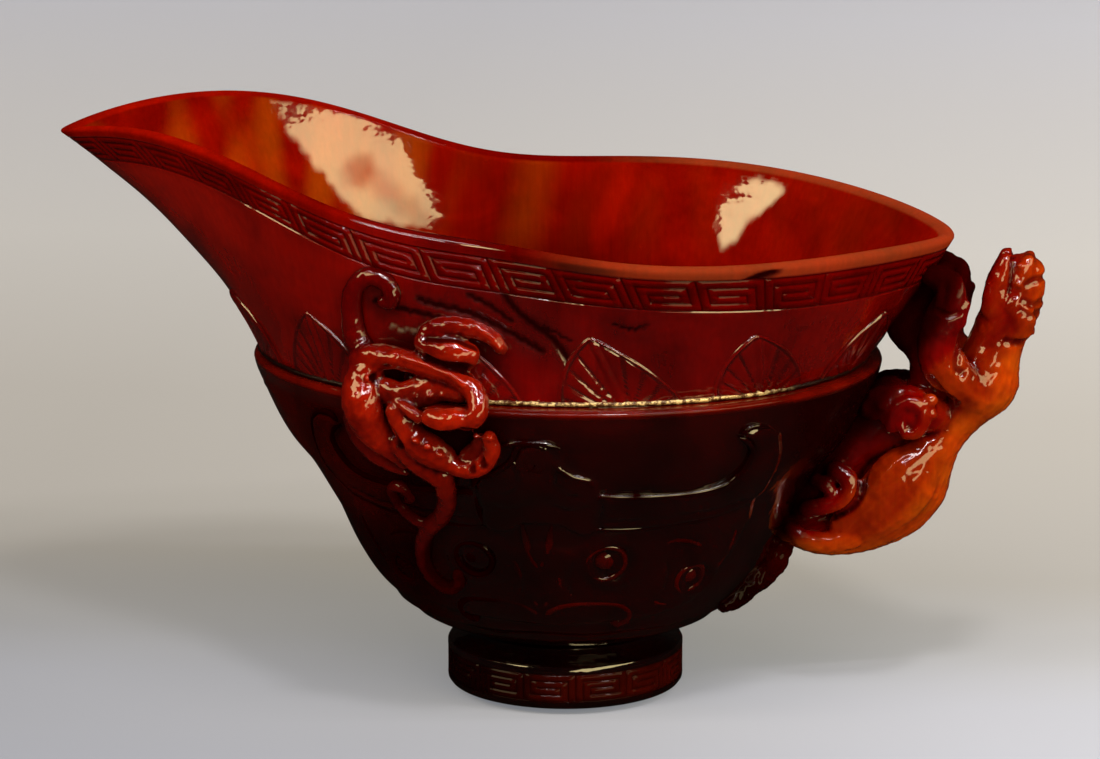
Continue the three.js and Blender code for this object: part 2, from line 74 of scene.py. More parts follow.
def polished_horn(name, solid, clear, edge, mottle_mm, clearness=0.5, gloss=0.07, marks=0.4):
    """Horn polished and waxed: keratin fibres run up the wall in fine streaks, and broad clouds of darker stain lie
    in it. It turns clear and orange where it is thin (attribute thin) and has honey streaks (attribute honey).
    Attribute recess paints it dark: painted shade in its cuts and hollows and where other parts shade it, and real
    cracks and stains. It holds pale old wax in a few hollows (attribute wax), and a dull film where it was never
    wiped bright (attribute film)."""
    material, tree = new_material(name)
    place = add_node(tree, "ShaderNodeTexCoord", out="Object")
    # Fibres: bundles about 0.8 mm wide, drawn out 14 times as long up the wall
    along = add_node(tree, "ShaderNodeMapping", {"Vector": place, "Scale": (1, 1, 0.07)}, out="Vector")
    fibres = add_node(tree, "ShaderNodeTexNoise", {
        "Vector": along, "Scale": 1 / (0.8 * MM), "Detail": 4.0, "Roughness": 0.62,
    }, out="Fac")
    clouds = add_node(tree, "ShaderNodeTexNoise", {
        "Vector": place, "Scale": 1 / (mottle_mm * MM), "Detail": 3.0, "Roughness": 0.55, "Distortion": 0.6,
    }, out="Fac")
    thin, honey, recess, wax, film = (
        add_node(tree, "ShaderNodeAttribute", attribute_name=attribute, out="Fac")
        for attribute in ("thin", "honey", "recess", "wax", "film"))
    cloud_share = add_node(tree, "ShaderNodeMapRange", {
        "Value": clouds, "From Min": 0.3, "From Max": 0.72, "To Max": clearness * 1.6,
    }, out="Result")
    patchy = add_node(tree, "ShaderNodeMapRange", {
        "Value": clouds, "From Min": 0.36, "From Max": 0.62, "To Min": 0.6, "To Max": 1.2,
    }, out="Result")
    clearer = add_node(tree, "ShaderNodeMath", {0: thin, 1: patchy}, operation="MULTIPLY", out="Value")
    body = colour(solid)
    for share, code in ((cloud_share, clear), (clearer, edge), (honey, "#b85c06")):
        body = add_node(tree, "ShaderNodeMix", {
            "Factor": share, "A": body, "B": colour(code),
        }, data_type="RGBA", out="Result")
    streak = add_node(tree, "ShaderNodeMapRange", {
        "Value": fibres, "From Min": 0.3, "From Max": 0.7, "To Min": 0.88, "To Max": 1.1,
    }, out="Result")
    body = add_node(tree, "ShaderNodeMix", {
        "Factor": 1.0, "A": body, "B": streak,
    }, data_type="RGBA", blend_type="MULTIPLY", out="Result")
    # Painted shade, and real cracks and stains: attribute recess mixes in the soot colour
    shade_and_soot = add_node(tree, "ShaderNodeMath", {0: recess, 1: 0.94}, operation="MULTIPLY", out="Value")
    for share, code in ((shade_and_soot, "#140101"), (wax, "#9a9274")):
        body = add_node(tree, "ShaderNodeMix", {
            "Factor": share, "A": body, "B": colour(code),
        }, data_type="RGBA", out="Result")
    # Wear: handling leaves patches about 3 mm wide a little less glossy, and the cuts and old wax are dull
    rubbed = add_node(tree, "ShaderNodeTexNoise", {
        "Vector": place, "Scale": 1 / (3.0 * MM), "Detail": 5.0, "Roughness": 0.6,
    }, out="Fac")
    rough = add_node(tree, "ShaderNodeMapRange", {
        "Value": rubbed, "From Min": 0.35, "From Max": 0.7, "To Min": gloss, "To Max": gloss + 0.08,
    }, out="Result")
    dull = add_node(tree, "ShaderNodeMath", {0: recess, 1: 0.18, 2: rough}, operation="MULTIPLY_ADD", out="Value")
    dull = add_node(tree, "ShaderNodeMath", {
        0: wax, 1: 0.5, 2: dull,
    }, operation="MULTIPLY_ADD", use_clamp=True, out="Value")
    # Surface: scraper marks about 1.6 mm apart, and stray grains of wax 0.6 mm wide and 4.5 mm apart, which glint
    scraped = add_node(tree, "ShaderNodeTexNoise", {
        "Vector": place, "Scale": 1 / (1.6 * MM), "Detail": 0.8, "Roughness": 0.5,
    }, out="Fac")
    spots = add_node(tree, "ShaderNodeTexVoronoi", {
        "Vector": place, "Scale": 1 / (4.5 * MM), "Randomness": 1.0,
    }, out="Distance")
    grains = add_node(tree, "ShaderNodeMapRange", {
        "Value": spots, "From Min": 0.0, "From Max": 0.07, "To Min": 0.8, "To Max": 0.0,
    }, out="Result")
    height = add_node(tree, "ShaderNodeMath", {0: scraped, 1: grains}, operation="ADD", out="Value")
    bump = add_node(tree, "ShaderNodeBump", {
        "Height": height, "Strength": marks, "Distance": 0.16 * MM,
    }, out="Normal")
    bright = add_node(tree, "ShaderNodeMath", {0: 1.0, 1: film}, operation="SUBTRACT", use_clamp=True, out="Value")
    level = add_node(tree, "ShaderNodeMath", {0: bright, 1: 0.5}, operation="MULTIPLY", out="Value")
    shader = add_node(tree, "ShaderNodeBsdfPrincipled", {
        "Base Color": body, "Roughness": dull, "IOR": 1.54, "Normal": bump, "Specular IOR Level": level,
        "Coat Weight": bright, "Coat Roughness": gloss * 0.6, "Coat IOR": 1.5, "Coat Normal": bump,
        "Subsurface Weight": 0.25, "Subsurface Radius": (1.0, 0.22, 0.08), "Subsurface Scale": 2.0 * MM,
    })
    add_node(tree, "ShaderNodeOutputMaterial", {"Surface": shader.outputs["BSDF"]})
    return material


def mesh_of(name, places, faces):
    """A mesh from places in millimetres."""
    mesh = bpy.data.meshes.new(name)
    mesh.from_pydata((places * MM).tolist(), [], faces)
    return mesh


def plain_object(name, mesh):
    """An object in the scene that shows a mesh."""
    piece = bpy.data.objects.new(name, mesh)
    bpy.context.scene.collection.objects.link(piece)
    return piece


def outline_object(name, places):
    """A chain of points in millimetres, for a Geometry Nodes tree to follow."""
    mesh = bpy.data.meshes.new(name)
    mesh.from_pydata((np.asarray(places, float) * MM).tolist(), [(i, i + 1) for i in range(len(places) - 1)], [])
    return plain_object(name, mesh)


def settle(piece, name):
    """Makes what an object's modifiers give its own mesh."""
    depsgraph = bpy.context.evaluated_depsgraph_get()
    mesh = bpy.data.meshes.new_from_object(piece.evaluated_get(depsgraph), depsgraph=depsgraph)
    mesh.name = name
    piece.modifiers.clear()
    piece.data = mesh


def grown(name, tree, inputs):
    """An object whose mesh is what a Geometry Nodes tree makes of its inputs."""
    piece = plain_object(name, bpy.data.meshes.new(name))
    modifier = piece.modifiers.new(name="form", type="NODES")
    modifier.node_group = tree
    for socket in tree.interface.items_tree:
        if socket.in_out == "INPUT" and socket.name in inputs:
            modifier[socket.identifier] = inputs[socket.name]
    settle(piece, name)
    for value in inputs.values():
        if isinstance(value, bpy.types.Object):
            bpy.data.objects.remove(value)
    return piece


def new_tree(name, sockets):
    """An empty Geometry Nodes tree with its sockets, and what it is given."""
    tree = bpy.data.node_groups.new(name, "GeometryNodeTree")
    tree.interface.new_socket("Geometry", in_out="OUTPUT", socket_type="NodeSocketGeometry")
    for socket_name, kind in sockets.items():
        tree.interface.new_socket(socket_name, in_out="INPUT", socket_type=kind)
    return tree, tree.nodes.new("NodeGroupInput").outputs


def finish_tree(tree, geometry, material):
    """Ends a Geometry Nodes tree: one real mesh with its material."""
    real = add_node(tree, "GeometryNodeRealizeInstances", {"Geometry": geometry}, out="Geometry")
    done = add_node(tree, "GeometryNodeSetMaterial", {"Geometry": real, "Material": material}, out="Geometry")
    add_node(tree, "NodeGroupOutput", {0: done})


def oval_form_tree():
    """A form whose level rings are ovals: three outlines give its reach to the spout, to the handle and to a side."""
    tree, given = new_tree("oval_form", {
        "Spout outline": "NodeSocketObject", "Handle outline": "NodeSocketObject", "Side outline": "NodeSocketObject",
        "Rows": "NodeSocketInt", "Columns": "NodeSocketInt", "Material": "NodeSocketMaterial",
    })
    grid = add_node(tree, "GeometryNodeMeshGrid", {
        "Vertices X": add_node(tree, "ShaderNodeMath", {0: given["Columns"], 1: 1.0}, operation="ADD", out="Value"),
        "Vertices Y": given["Rows"],
    }, out="Mesh")
    index = add_node(tree, "GeometryNodeInputIndex", out="Index")
    row = add_node(tree, "ShaderNodeMath", {0: index, 1: given["Rows"]}, operation="MODULO", out="Value")
    column = add_node(tree, "ShaderNodeMath", {
        0: add_node(tree, "ShaderNodeMath", {0: index, 1: given["Rows"]}, operation="DIVIDE", out="Value"),
    }, operation="FLOOR", out="Value")
    turn = add_node(tree, "ShaderNodeMath", {
        0: add_node(tree, "ShaderNodeMath", {0: column, 1: given["Columns"]}, operation="DIVIDE", out="Value"),
        1: math.tau,
    }, operation="MULTIPLY", out="Value")
    position = add_node(tree, "GeometryNodeInputPosition", out="Position")
    reach = {}
    for side in ("Spout", "Handle", "Side"):
        chain = add_node(tree, "GeometryNodeObjectInfo", {"Object": given[side + " outline"]}, out="Geometry")
        at_row = add_node(tree, "GeometryNodeSampleIndex", {
            "Geometry": chain, "Value": position, "Index": row,
        }, data_type="FLOAT_VECTOR", domain="POINT", out="Value")
        reach[side] = add_node(tree, "ShaderNodeSeparateXYZ", {"Vector": at_row}).outputs
    middle = add_node(tree, "ShaderNodeMath", {
        0: add_node(tree, "ShaderNodeMath", {
            0: reach["Spout"]["X"], 1: reach["Handle"]["X"],
        }, operation="ADD", out="Value"),
        1: 0.5,
    }, operation="MULTIPLY", out="Value")
    half = add_node(tree, "ShaderNodeMath", {
        0: add_node(tree, "ShaderNodeMath", {
            0: reach["Handle"]["X"], 1: reach["Spout"]["X"],
        }, operation="SUBTRACT", out="Value"),
        1: 0.5,
    }, operation="MULTIPLY", out="Value")
    across = add_node(tree, "ShaderNodeMath", {
        0: add_node(tree, "ShaderNodeMath", {0: turn}, operation="SINE", out="Value"), 1: reach["Side"]["Y"],
    }, operation="MULTIPLY", out="Value")
    place = add_node(tree, "ShaderNodeCombineXYZ", {
        "X": add_node(tree, "ShaderNodeMath", {
            0: middle,
            1: add_node(tree, "ShaderNodeMath", {
                0: half, 1: add_node(tree, "ShaderNodeMath", {0: turn}, operation="COSINE", out="Value"),
            }, operation="MULTIPLY", out="Value"),
        }, operation="SUBTRACT", out="Value"),
        "Y": add_node(tree, "ShaderNodeMath", {0: across, 1: -1.0}, operation="MULTIPLY", out="Value"),
        "Z": reach["Side"]["Z"],
    }, out="Vector")
    rings = add_node(tree, "GeometryNodeSetPosition", {"Geometry": grid, "Position": place}, out="Geometry")
    rings = add_node(tree, "GeometryNodeStoreNamedAttribute", {
        "Geometry": rings, "Name": "row", "Value": row,
    }, data_type="FLOAT", domain="POINT", out="Geometry")
    closed = add_node(tree, "GeometryNodeMergeByDistance", {
        "Geometry": rings, "Distance": 0.002 * MM,
    }, out="Geometry")
    smooth = add_node(tree, "GeometryNodeSetShadeSmooth", {"Geometry": closed}, out="Geometry")
    finish_tree(tree, smooth, given["Material"])
    return tree


oval_form = oval_form_tree()


def oval_piece(name, rows, columns, material):
    """A closed oval form from rows of spout reach, handle reach, side reach and height, in millimetres."""
    rows = np.asarray(rows, float)
    zero = np.zeros(len(rows))
    return grown(name, oval_form, {
        "Spout outline": outline_object("spout_outline", np.column_stack([rows[:, 0], zero, rows[:, 3]])),
        "Handle outline": outline_object("handle_outline", np.column_stack([rows[:, 1], zero, rows[:, 3]])),
        "Side outline": outline_object("side_outline", np.column_stack([zero, rows[:, 2], rows[:, 3]])),
        "Rows": len(rows), "Columns": columns, "Material": material,
    })


def frieze_tree():
    """Carving cut flat and laid on a wall: copies of a tile stand in a row and are bent on to the wall through its
    unrolled UV map, in which both axes are metres on the surface."""
    tree, given = new_tree("frieze_on_wall", {
        "Wall": "NodeSocketObject", "Tile": "NodeSocketObject", "Count": "NodeSocketInt", "Run": "NodeSocketFloat",
        "Material": "NodeSocketMaterial",
    })
    pitch = add_node(tree, "ShaderNodeMath", {0: given["Run"], 1: given["Count"]}, operation="DIVIDE", out="Value")
    stops = add_node(tree, "GeometryNodeMeshLine", {
        "Count": given["Count"],
        "Start Location": add_node(tree, "ShaderNodeCombineXYZ", {
            "X": add_node(tree, "ShaderNodeMath", {0: pitch, 1: 0.5}, operation="MULTIPLY", out="Value"),
        }, out="Vector"),
        "Offset": add_node(tree, "ShaderNodeCombineXYZ", {"X": pitch}, out="Vector"),
    }, out="Mesh")
    tile = add_node(tree, "GeometryNodeObjectInfo", {"Object": given["Tile"]}, out="Geometry")
    copies = add_node(tree, "GeometryNodeInstanceOnPoints", {"Points": stops, "Instance": tile}, out="Instances")
    flat = add_node(tree, "GeometryNodeRealizeInstances", {"Geometry": copies}, out="Geometry")
    position = add_node(tree, "GeometryNodeInputPosition", out="Position")
    normal = add_node(tree, "GeometryNodeInputNormal", out="Normal")
    here = add_node(tree, "ShaderNodeSeparateXYZ", {"Vector": position}).outputs
    wall = add_node(tree, "GeometryNodeObjectInfo", {"Object": given["Wall"]}, out="Geometry")
    unrolled = add_node(tree, "GeometryNodeInputNamedAttribute", {
        "Name": "unrolled",
    }, data_type="FLOAT_VECTOR", out="Attribute")
    spot = add_node(tree, "ShaderNodeCombineXYZ", {"X": here["X"], "Y": here["Y"]}, out="Vector")
    on_wall = [add_node(tree, "GeometryNodeSampleUVSurface", {
        "Mesh": wall, "Value": what, "UV Map": unrolled, "Sample UV": spot,
    }, data_type="FLOAT_VECTOR", out="Value") for what in (position, normal)]
    lift = add_node(tree, "ShaderNodeVectorMath", {0: on_wall[1]}, operation="NORMALIZE", out="Vector")
    lift = add_node(tree, "ShaderNodeVectorMath", {0: lift, "Scale": here["Z"]}, operation="SCALE", out="Vector")
    place = add_node(tree, "ShaderNodeVectorMath", {0: on_wall[0], 1: lift}, operation="ADD", out="Vector")
    bent = add_node(tree, "GeometryNodeSetPosition", {"Geometry": flat, "Position": place}, out="Geometry")
    finish_tree(tree, bent, given["Material"])
    return tree


frieze_on_wall = frieze_tree()


def grid_faces(rows, columns, loop_rows=False, loop_columns=True):
    """Faces between rings of points; ring r holds the points r * columns onwards."""
    r = np.arange(rows if loop_rows else rows - 1)[:, None]
    c = np.arange(columns if loop_columns else columns - 1)[None, :]
    up, on = (r + 1) % rows, (c + 1) % columns
    corners = [r * columns + c, r * columns + on, up * columns + on, up * columns + c]
    return np.stack([np.broadcast_to(k, (r.size, c.size)) for k in corners], -1).reshape(-1, 4)


def ease(share):
    """A soft step from 0 to 1."""
    share = np.clip(share, 0, 1)
    return share * share * (3 - 2 * share)


def mesh_places(mesh):
    """Places in millimetres and normals of a mesh's points."""
    places, normals = np.zeros(len(mesh.vertices) * 3), np.zeros(len(mesh.vertices) * 3)
    mesh.vertices.foreach_get("co", places)
    mesh.vertex_normals.foreach_get("vector", normals)
    return places.reshape(-1, 3) / MM, normals.reshape(-1, 3)


def set_places(mesh, places):
    """Moves a mesh's points to places in millimetres."""
    mesh.vertices.foreach_set("co", (places * MM).reshape(-1))
    mesh.update()


def slab_faces(rows, columns):
    """Faces of a closed slab: a grid on top, the same grid under it, and the sides between their borders."""
    faces = grid_faces(rows, columns, loop_columns=False)
    below = rows * columns
    border = list(range(columns)) + [r * columns + columns - 1 for r in range(1, rows)]
    border += [(rows - 1) * columns + c for c in range(columns - 2, -1, -1)]
    border += [r * columns for r in range(rows - 2, 0, -1)]
    sides = [(a, a + below, b + below, b) for a, b in zip(border, border[1:] + border[:1])]
    return faces[:, ::-1].tolist() + (faces + below).tolist() + sides


def mark(mesh, name, values):
    """Writes a number from 0 to 1 on each point, or one on all of them, for the material to read."""
    layer = mesh.attributes.get(name) or mesh.attributes.new(name, "FLOAT", "POINT")
    numbers = np.broadcast_to(np.clip(values, 0, 1), len(mesh.vertices))
    layer.data.foreach_set("value", numbers.astype(np.float32))


def wall_sheet(places, along, up):
    """An open sheet of the bare wall (rows, columns, 3) with its unrolled UV map, for a frieze to lie on."""
    rows, columns = places.shape[:2]
    faces = grid_faces(rows, columns, loop_columns=False)
    mesh = mesh_of("wall_sheet", places.reshape(-1, 3), faces.tolist())
    corners = faces.reshape(-1)
    flat = np.column_stack([along.reshape(-1)[corners], up.reshape(-1)[corners]]) * MM
    mesh.uv_layers.new(name="unrolled").uv.foreach_set("vector", flat.astype(np.float32).reshape(-1))
    mesh.shade_smooth()
    return plain_object("wall_sheet", mesh)


def slab_object(name, face, root, face_recess, root_recess):
    """A closed slab from its front face (rows, columns, 3), the level of its back, and the painted shade on both."""
    front = face.reshape(-1, 3)
    rear = front.copy()
    rear[:, 2] = root
    mesh = mesh_of(name, np.vstack([front, rear]), slab_faces(*face.shape[:2]))
    mark(mesh, "recess", np.concatenate([face_recess.reshape(-1), np.broadcast_to(root_recess, len(rear))]))
    mesh.shade_smooth()
    return plain_object(name, mesh)


def fret_tile(pitch, tall, groove, floor, root):
    """Two cells of key fret that face each other, as one slab: narrow grooves on the lines of a lattice, with flat
    bars between them."""
    bevel, wide, high = 0.11, 14, 4
    spiral = [(1, 0), (1, 3), (6, 3), (6, 1), (2, 1), (2, 2), (5, 2)]
    lines = [[(0, 0), (wide, 0)], [(0, high), (wide, high)], spiral, [(wide - x, y) for x, y in spiral]]
    lines += [[(x, 0), (x, high)] for x in (0, wide // 2, wide)]
    units = (pitch / wide, (tall - groove) / high)
    start = (0.0, groove / 2)
    steps = []
    for axis, count, limit in ((0, wide, pitch), (1, high, tall)):
        marks = [
            start[axis] + i * units[axis] + side * (groove / 2 + extra)
            for i in range(count + 1) for side, extra in ((-1, bevel), (-1, 0), (1, 0), (1, bevel))]
        steps.append(np.array(sorted({round(min(max(m, 0.0), limit), 4) for m in marks})))
    gx, gy = np.meshgrid(*steps, indexing="ij")
    cut = np.zeros(gx.shape, bool)
    reach = groove / 2 + 0.01
    for line in lines:
        for (x0, y0), (x1, y1) in zip(line[:-1], line[1:]):
            left, right = sorted((x0, x1))
            bottom, top = sorted((y0, y1))
            cut |= ((gx > left * units[0] - reach) & (gx < right * units[0] + reach)
                    & (gy > start[1] + bottom * units[1] - reach) & (gy < start[1] + top * units[1] + reach))
    face = np.stack([gx - pitch / 2, gy, np.where(cut, floor, -0.02)], -1)
    # Painted shade on the groove floors; the hidden back is dark
    return slab_object("fret_tile", face, root, np.where(cut, 0.3, 0.0), 1.0)


def turn_outward(mesh):
    """Turns a closed mesh right side out."""
    corners = np.zeros(len(mesh.vertices) * 3)
    mesh.vertices.foreach_get("co", corners)
    corners = corners.reshape(-1, 3)
    mesh.calc_loop_triangles()
    tris = np.zeros(len(mesh.loop_triangles) * 3, int)
    mesh.loop_triangles.foreach_get("vertices", tris)
    a, b, c = (corners[tris.reshape(-1, 3)[:, i]] for i in range(3))
    if np.einsum("ij,ij->i", a, np.cross(b, c)).sum() < 0:
        mesh.flip_normals()


foot_radius = 19.8
foot_band = (1.35, 6.15)
# Radius and height, from the underside up to the tenon
foot_rows = [
    (0, 0), (9, 0), (18.7, 0), (19.4, 0.2), (19.75, 0.7), (19.8, 1.2), (19.8, 1.3), (19.4, 1.36), (19.4, 6.14),
    (19.8, 6.2), (19.8, 6.9), (19.6, 7.3), (19.1, 7.5), (18.3, 7.65), (17.3, 8.0), (16.5, 8.5), (16.0, 9.0),
    (15.8, 9.4), (15.4, 9.5), (8, 9.5), (8, 12.6), (0, 12.6),
]
dark_horn = polished_horn("dark_polished_horn", "#0a0101", "#1c0202", "#4a0c03", 9, clearness=0.35)
foot = oval_piece("turned_foot", [(-r, r, r, z) for r, z in foot_rows], 144, dark_horn)
turn_outward(foot.data)
foot.data.set_sharp_from_angle(angle=math.radians(40))
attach(foot, "root")
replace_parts(foot, "foot")

foot_turns = np.linspace(0, 2 * math.pi, 181)
foot_run = 2 * math.pi * foot_radius
foot_sheet = np.stack([
    np.stack([-foot_radius * np.cos(foot_turns), -foot_radius * np.sin(foot_turns), 0 * foot_turns + z], -1)
    for z in foot_band
])
foot_along = np.broadcast_to(foot_turns * foot_radius, foot_sheet.shape[:2])
foot_up = np.repeat(np.array(foot_band) - foot_band[0], len(foot_turns))
foot_fret = grown("foot_fret", frieze_on_wall, {
    "Wall": wall_sheet(foot_sheet, foot_along, foot_up),
    "Tile": fret_tile(foot_run / 7, foot_band[1] - foot_band[0], 0.2, -0.25, -0.6),
    "Count": 7, "Run": foot_run * MM, "Material": dark_horn,
})
turn_outward(foot_fret.data)
mark(foot_fret.data, "film", 0.95)
mark(foot_fret.data, "thin", 0.38 * ease((mesh_places(foot_fret.data)[0][:, 0] + 14) / 16))
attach(foot_fret, "root")

# Lower bowl
# The lower section, carved from the thick part of the horn: a neck, a full swell, a ledge that the upper section
# stands in, and a mask band in low relief. Nearly black below, deep red where the wall thins towards the ledge.

neck_height, neck_radius = 9.8, 15.7
ledge_height = 57.0
# Reach to the spout, to the handle and to a side
ledge_reach = (-52.0, 52.6, 44.9)
# Share of the height from neck to ledge, and share of the girth gained there
swell_shares = [
    (0, 0), (0.025, 0.107), (0.061, 0.234), (0.091, 0.284), (0.19, 0.424), (0.3, 0.518), (0.479, 0.634),
    (0.608, 0.73), (0.72, 0.846), (0.841, 0.928), (0.958, 0.992), (1, 1),
]


def spline(points, steps):
    """A smooth curve through rows of numbers, with so many steps between two of them."""
    points = np.asarray(points, float)
    rows = np.vstack([2 * points[0] - points[1], points, 2 * points[-1] - points[-2]])
    share = np.linspace(0, 1, steps, endpoint=False)[:, None]
    spans = []
    for a, b, c, d in zip(rows[:-3], rows[1:-2], rows[2:-1], rows[3:]):
        spans.append(0.5 * (
            2 * b + (c - a) * share + (2 * a - 5 * b + 4 * c - d) * share ** 2
            + (3 * b - a - 3 * c + d) * share ** 3))
    return np.vstack(spans + [points[-1:]])


swell = spline(swell_shares, 12)


def lower_place(turn, height):
    """A place on the outside of the lower section; turns run from the spout round by the front to the handle."""
    girth = np.interp((height - neck_height) / (ledge_height - neck_height), swell[:, 0], swell[:, 1])
    to_spout, to_handle, to_side = ledge_reach
    half_length, half_width = (
        neck_radius + (reach - neck_radius) * girth for reach in ((to_handle - to_spout) / 2, to_side))
    shift = (to_spout + to_handle) / 2 * girth
    return np.stack([shift - half_length * np.cos(turn), -half_width * np.sin(turn), height + 0 * turn], -1)


def from_line(places, line):
    """Distance in millimetres from each place to a chain of points."""
    far, margin = 99.0, 4
    nearest = np.full(len(places), far)
    near = np.all((places > line.min(0) - margin) & (places < line.max(0) + margin), axis=1)
    close = places[near]
    best = nearest[near]
    for a, b in zip(line[:-1], line[1:]):
        run = b - a
        share = np.clip((close - a) @ run / max(run @ run, 1e-9), 0, 1)
        best = np.minimum(best, np.linalg.norm(close - (a + share[:, None] * run), axis=1))
    nearest[near] = best
    return nearest


def within(across, up, corners):
    """Whether each point of the unrolled wall lies inside an outline."""
    odd = np.zeros(len(across), bool)
    for (x0, y0), (x1, y1) in zip(corners, np.roll(corners, -1, axis=0)):
        if y0 != y1:
            odd ^= ((y0 > up) != (y1 > up)) & (across < (x1 - x0) * (up - y0) / (y1 - y0) + x0)
    return odd


# The mask: outlines on one half of its face, in degrees from the spout and height; the nose is at 90 degrees
mask_fields = [
    # raised by, width of the edge, outline
    (0.95, 0.55, [
        (102.2, 42.3), (107, 41.9), (112.7, 41.7), (121.3, 41.6), (127, 42), (131, 43), (133.2, 45.4), (133.6, 48.4),
        (131.6, 50.3), (129.8, 51.4), (131.4, 52.6), (134.6, 52.6), (137.6, 51), (139.8, 47.8), (141, 44),
        (141.8, 40.4), (138.6, 37.6), (129.9, 36.4), (121, 36), (112, 35.6), (102.6, 35.8)]),
    (0.8, 0.55, [
        (88, 51.6), (90, 51.6), (92.2, 50.9), (93.8, 48.3), (97.3, 46), (100.8, 45), (102.3, 42.3), (102.8, 35.5),
        (99, 34.6), (94, 36.6), (88, 37)]),
    (0.55, 0.7, [
        (88, 33), (97, 31.5), (103, 34.5), (113, 35.4), (124, 35.8), (133, 36.2), (140.6, 38.6), (143, 34.2),
        (142, 30), (139, 26.5), (137.6, 23), (132.9, 20), (122, 18.4), (104, 17.6), (88, 17.2)]),
]
mask_ridges = [
    # half width, stand out of the wall, line: the raised lines of the face, round on top
    (0.52, 0.85, [(102.4, 36), (102.5, 39.4), (102.9, 42), (107, 41.9), (112.7, 41.7), (121.3, 41.6), (127, 42),
                  (131, 43), (133.2, 45.4), (133.6, 48.4), (131.6, 50.3), (129.6, 51.2)]),
    (0.5, 0.8, [(129.8, 51.6), (131.4, 52.8), (134.6, 52.6), (137.6, 51), (139.8, 47.8), (141, 44), (141.8, 40.4),
                (138.6, 37.6), (132, 36.5)]),
    (0.55, 0.85, [(84.6, 50.9), (87.4, 51.6), (90, 51.6), (92.2, 50.9), (93.8, 48.3), (97.3, 46), (100.8, 45),
                  (102.2, 43.2)]),
    (0.55, 0.85, [(93.6, 48.6), (91.6, 46.8), (89.4, 47.6), (89.2, 49.6), (91.2, 49.9)]),
    (0.5, 0.7, [(102.6, 35.6), (112, 35.4), (121, 35.8), (129.9, 36.2), (138, 37.4)]),
    (0.8, 0.7, [(90.2, 18.8), (93, 20.2), (97, 21.3), (103, 21.6), (110.9, 21.3), (115.2, 19.8), (116, 17.8),
                (113.4, 16.9), (111.8, 18)]),
    (0.7, 0.6, [(90.5, 26.8), (92.4, 24.4), (91.6, 21.8), (90, 20.6)]),
    (0.7, 0.65, [(86.5, 36.4), (88, 30.5), (91.5, 26.8)]),
    (0.6, 0.6, [(118.5, 31.8), (124, 32.6), (129.6, 31.6), (133.6, 30)]),
    (0.5, 0.6, [(139.8, 34.4), (141.6, 31.6), (140.8, 28), (138.2, 24.6), (135.4, 21.6)]),
    (0.5, 0.55, [(96.8, 30.4), (95.2, 27), (96.2, 23.6), (99.6, 23.2)]),
    (0.5, 0.55, [(121.2, 21.8), (124.6, 20.6), (128.8, 20.4)]),
]
mask_cuts = [
    # cut in by, half width, line
    (0.45, 0.45, [(102.4, 42.6), (102.7, 38.6), (102.9, 35.2)]),
    (0.35, 0.4, [(104, 37.6), (112, 37.4), (121, 37.8), (129.9, 38.2), (137, 39.4)]),
    (0.3, 0.4, [(94, 47.2), (93.4, 44.8), (95.6, 42.8), (98.4, 42.4)]),
    (0.3, 0.4, [(92.6, 40.6), (96.5, 39.6), (99.6, 40.4)]),
    (0.3, 0.4, [(96.8, 29.2), (95.4, 26), (96.4, 23.6)]),
    (0.3, 0.4, [(119.6, 29.4), (121.6, 26.6), (121.4, 23.4)]),
]
# Eyes: degrees, height, radius and stand
eyes = [(106.6, 29.2, 4.2, 0.75), (131.2, 25.1, 3.3, 0.6)]
# The oval in which the degrees of a place on the wall are read: half length, half width and its middle along X
oval_length, oval_width, oval_middle = 53.1, 44.9, 1.1


def degrees_round(places):
    """Degrees from the spout round to each place, the same on both sides."""
    return np.degrees(np.arctan2(np.abs(places[:, 1]) * oval_length / oval_width, oval_middle - places[:, 0]))


def shade_under_dragon(places):
    """How deep in the painted shade under a side dragon each place of the wall lies, 0 to 1."""
    return ease(3 - 2.3 * np.hypot((degrees_round(places) - 70) / 15, (places[:, 2] - 57) / 11))


def lower_relief(places):
    """How far the carving stands out at each place of the lower wall, and the painted shade in its cuts."""
    fold, up = degrees_round(places), places[:, 2]
    fold = np.where(fold < 90, 180 - fold, fold)
    folded = lower_place(np.radians(fold), up)
    out, cut = np.zeros(len(places)), np.zeros(len(places))
    for height, edge, outline in mask_fields:
        corners = np.array(outline, float)
        closed = np.vstack([corners, corners[:1]])
        away = from_line(folded, lower_place(np.radians(closed[:, 0]), closed[:, 1]))
        signed = np.where(within(fold, up, corners), away, -away)
        # No edge where the two halves of the face meet
        signed = np.where((fold < 90.5) & within(fold + 3, up, corners), 2, signed)
        out = np.maximum(out, height * ease(0.5 + signed / (2 * edge)))
        # Painted shade at the foot of each raised field's edge
        cut = np.maximum(cut, 0.55 * np.exp(-((signed + edge) / 0.45) ** 2))
    for depth, half, line in mask_cuts:
        line = spline(line, 5)
        spread = ease(1.2 - from_line(folded, lower_place(np.radians(line[:, 0]), line[:, 1])) / half)
        out -= depth * spread
        cut = np.maximum(cut, 0.9 * spread)
    for turn_at, height_at, radius, stand in eyes:
        middle = lower_place(np.radians(np.array([turn_at])), np.array([height_at]))[0]
        away = np.linalg.norm(folded - middle, axis=1)
        ring = np.exp(-((away - radius) / 0.55) ** 2)
        socket = ease((radius - 0.9 - away) / 0.6)
        ball = np.sqrt(np.clip(1 - (away / (radius * 0.56)) ** 2, 0, 1))
        out += 0.5 * stand * ring - 0.35 * socket + 0.95 * ball * stand
        # Painted shade round the eyeball and just outside the ring
        cut = np.maximum.reduce([
            cut, 0.75 * np.exp(-((away - radius * 0.66) / 0.4) ** 2),
            0.5 * np.exp(-((away - radius - 1.0) / 0.3) ** 2)])
    # A plain bead borders the mask below
    out += 0.4 * np.exp(-((up - 15.6) / 0.75) ** 2)
    return out, cut


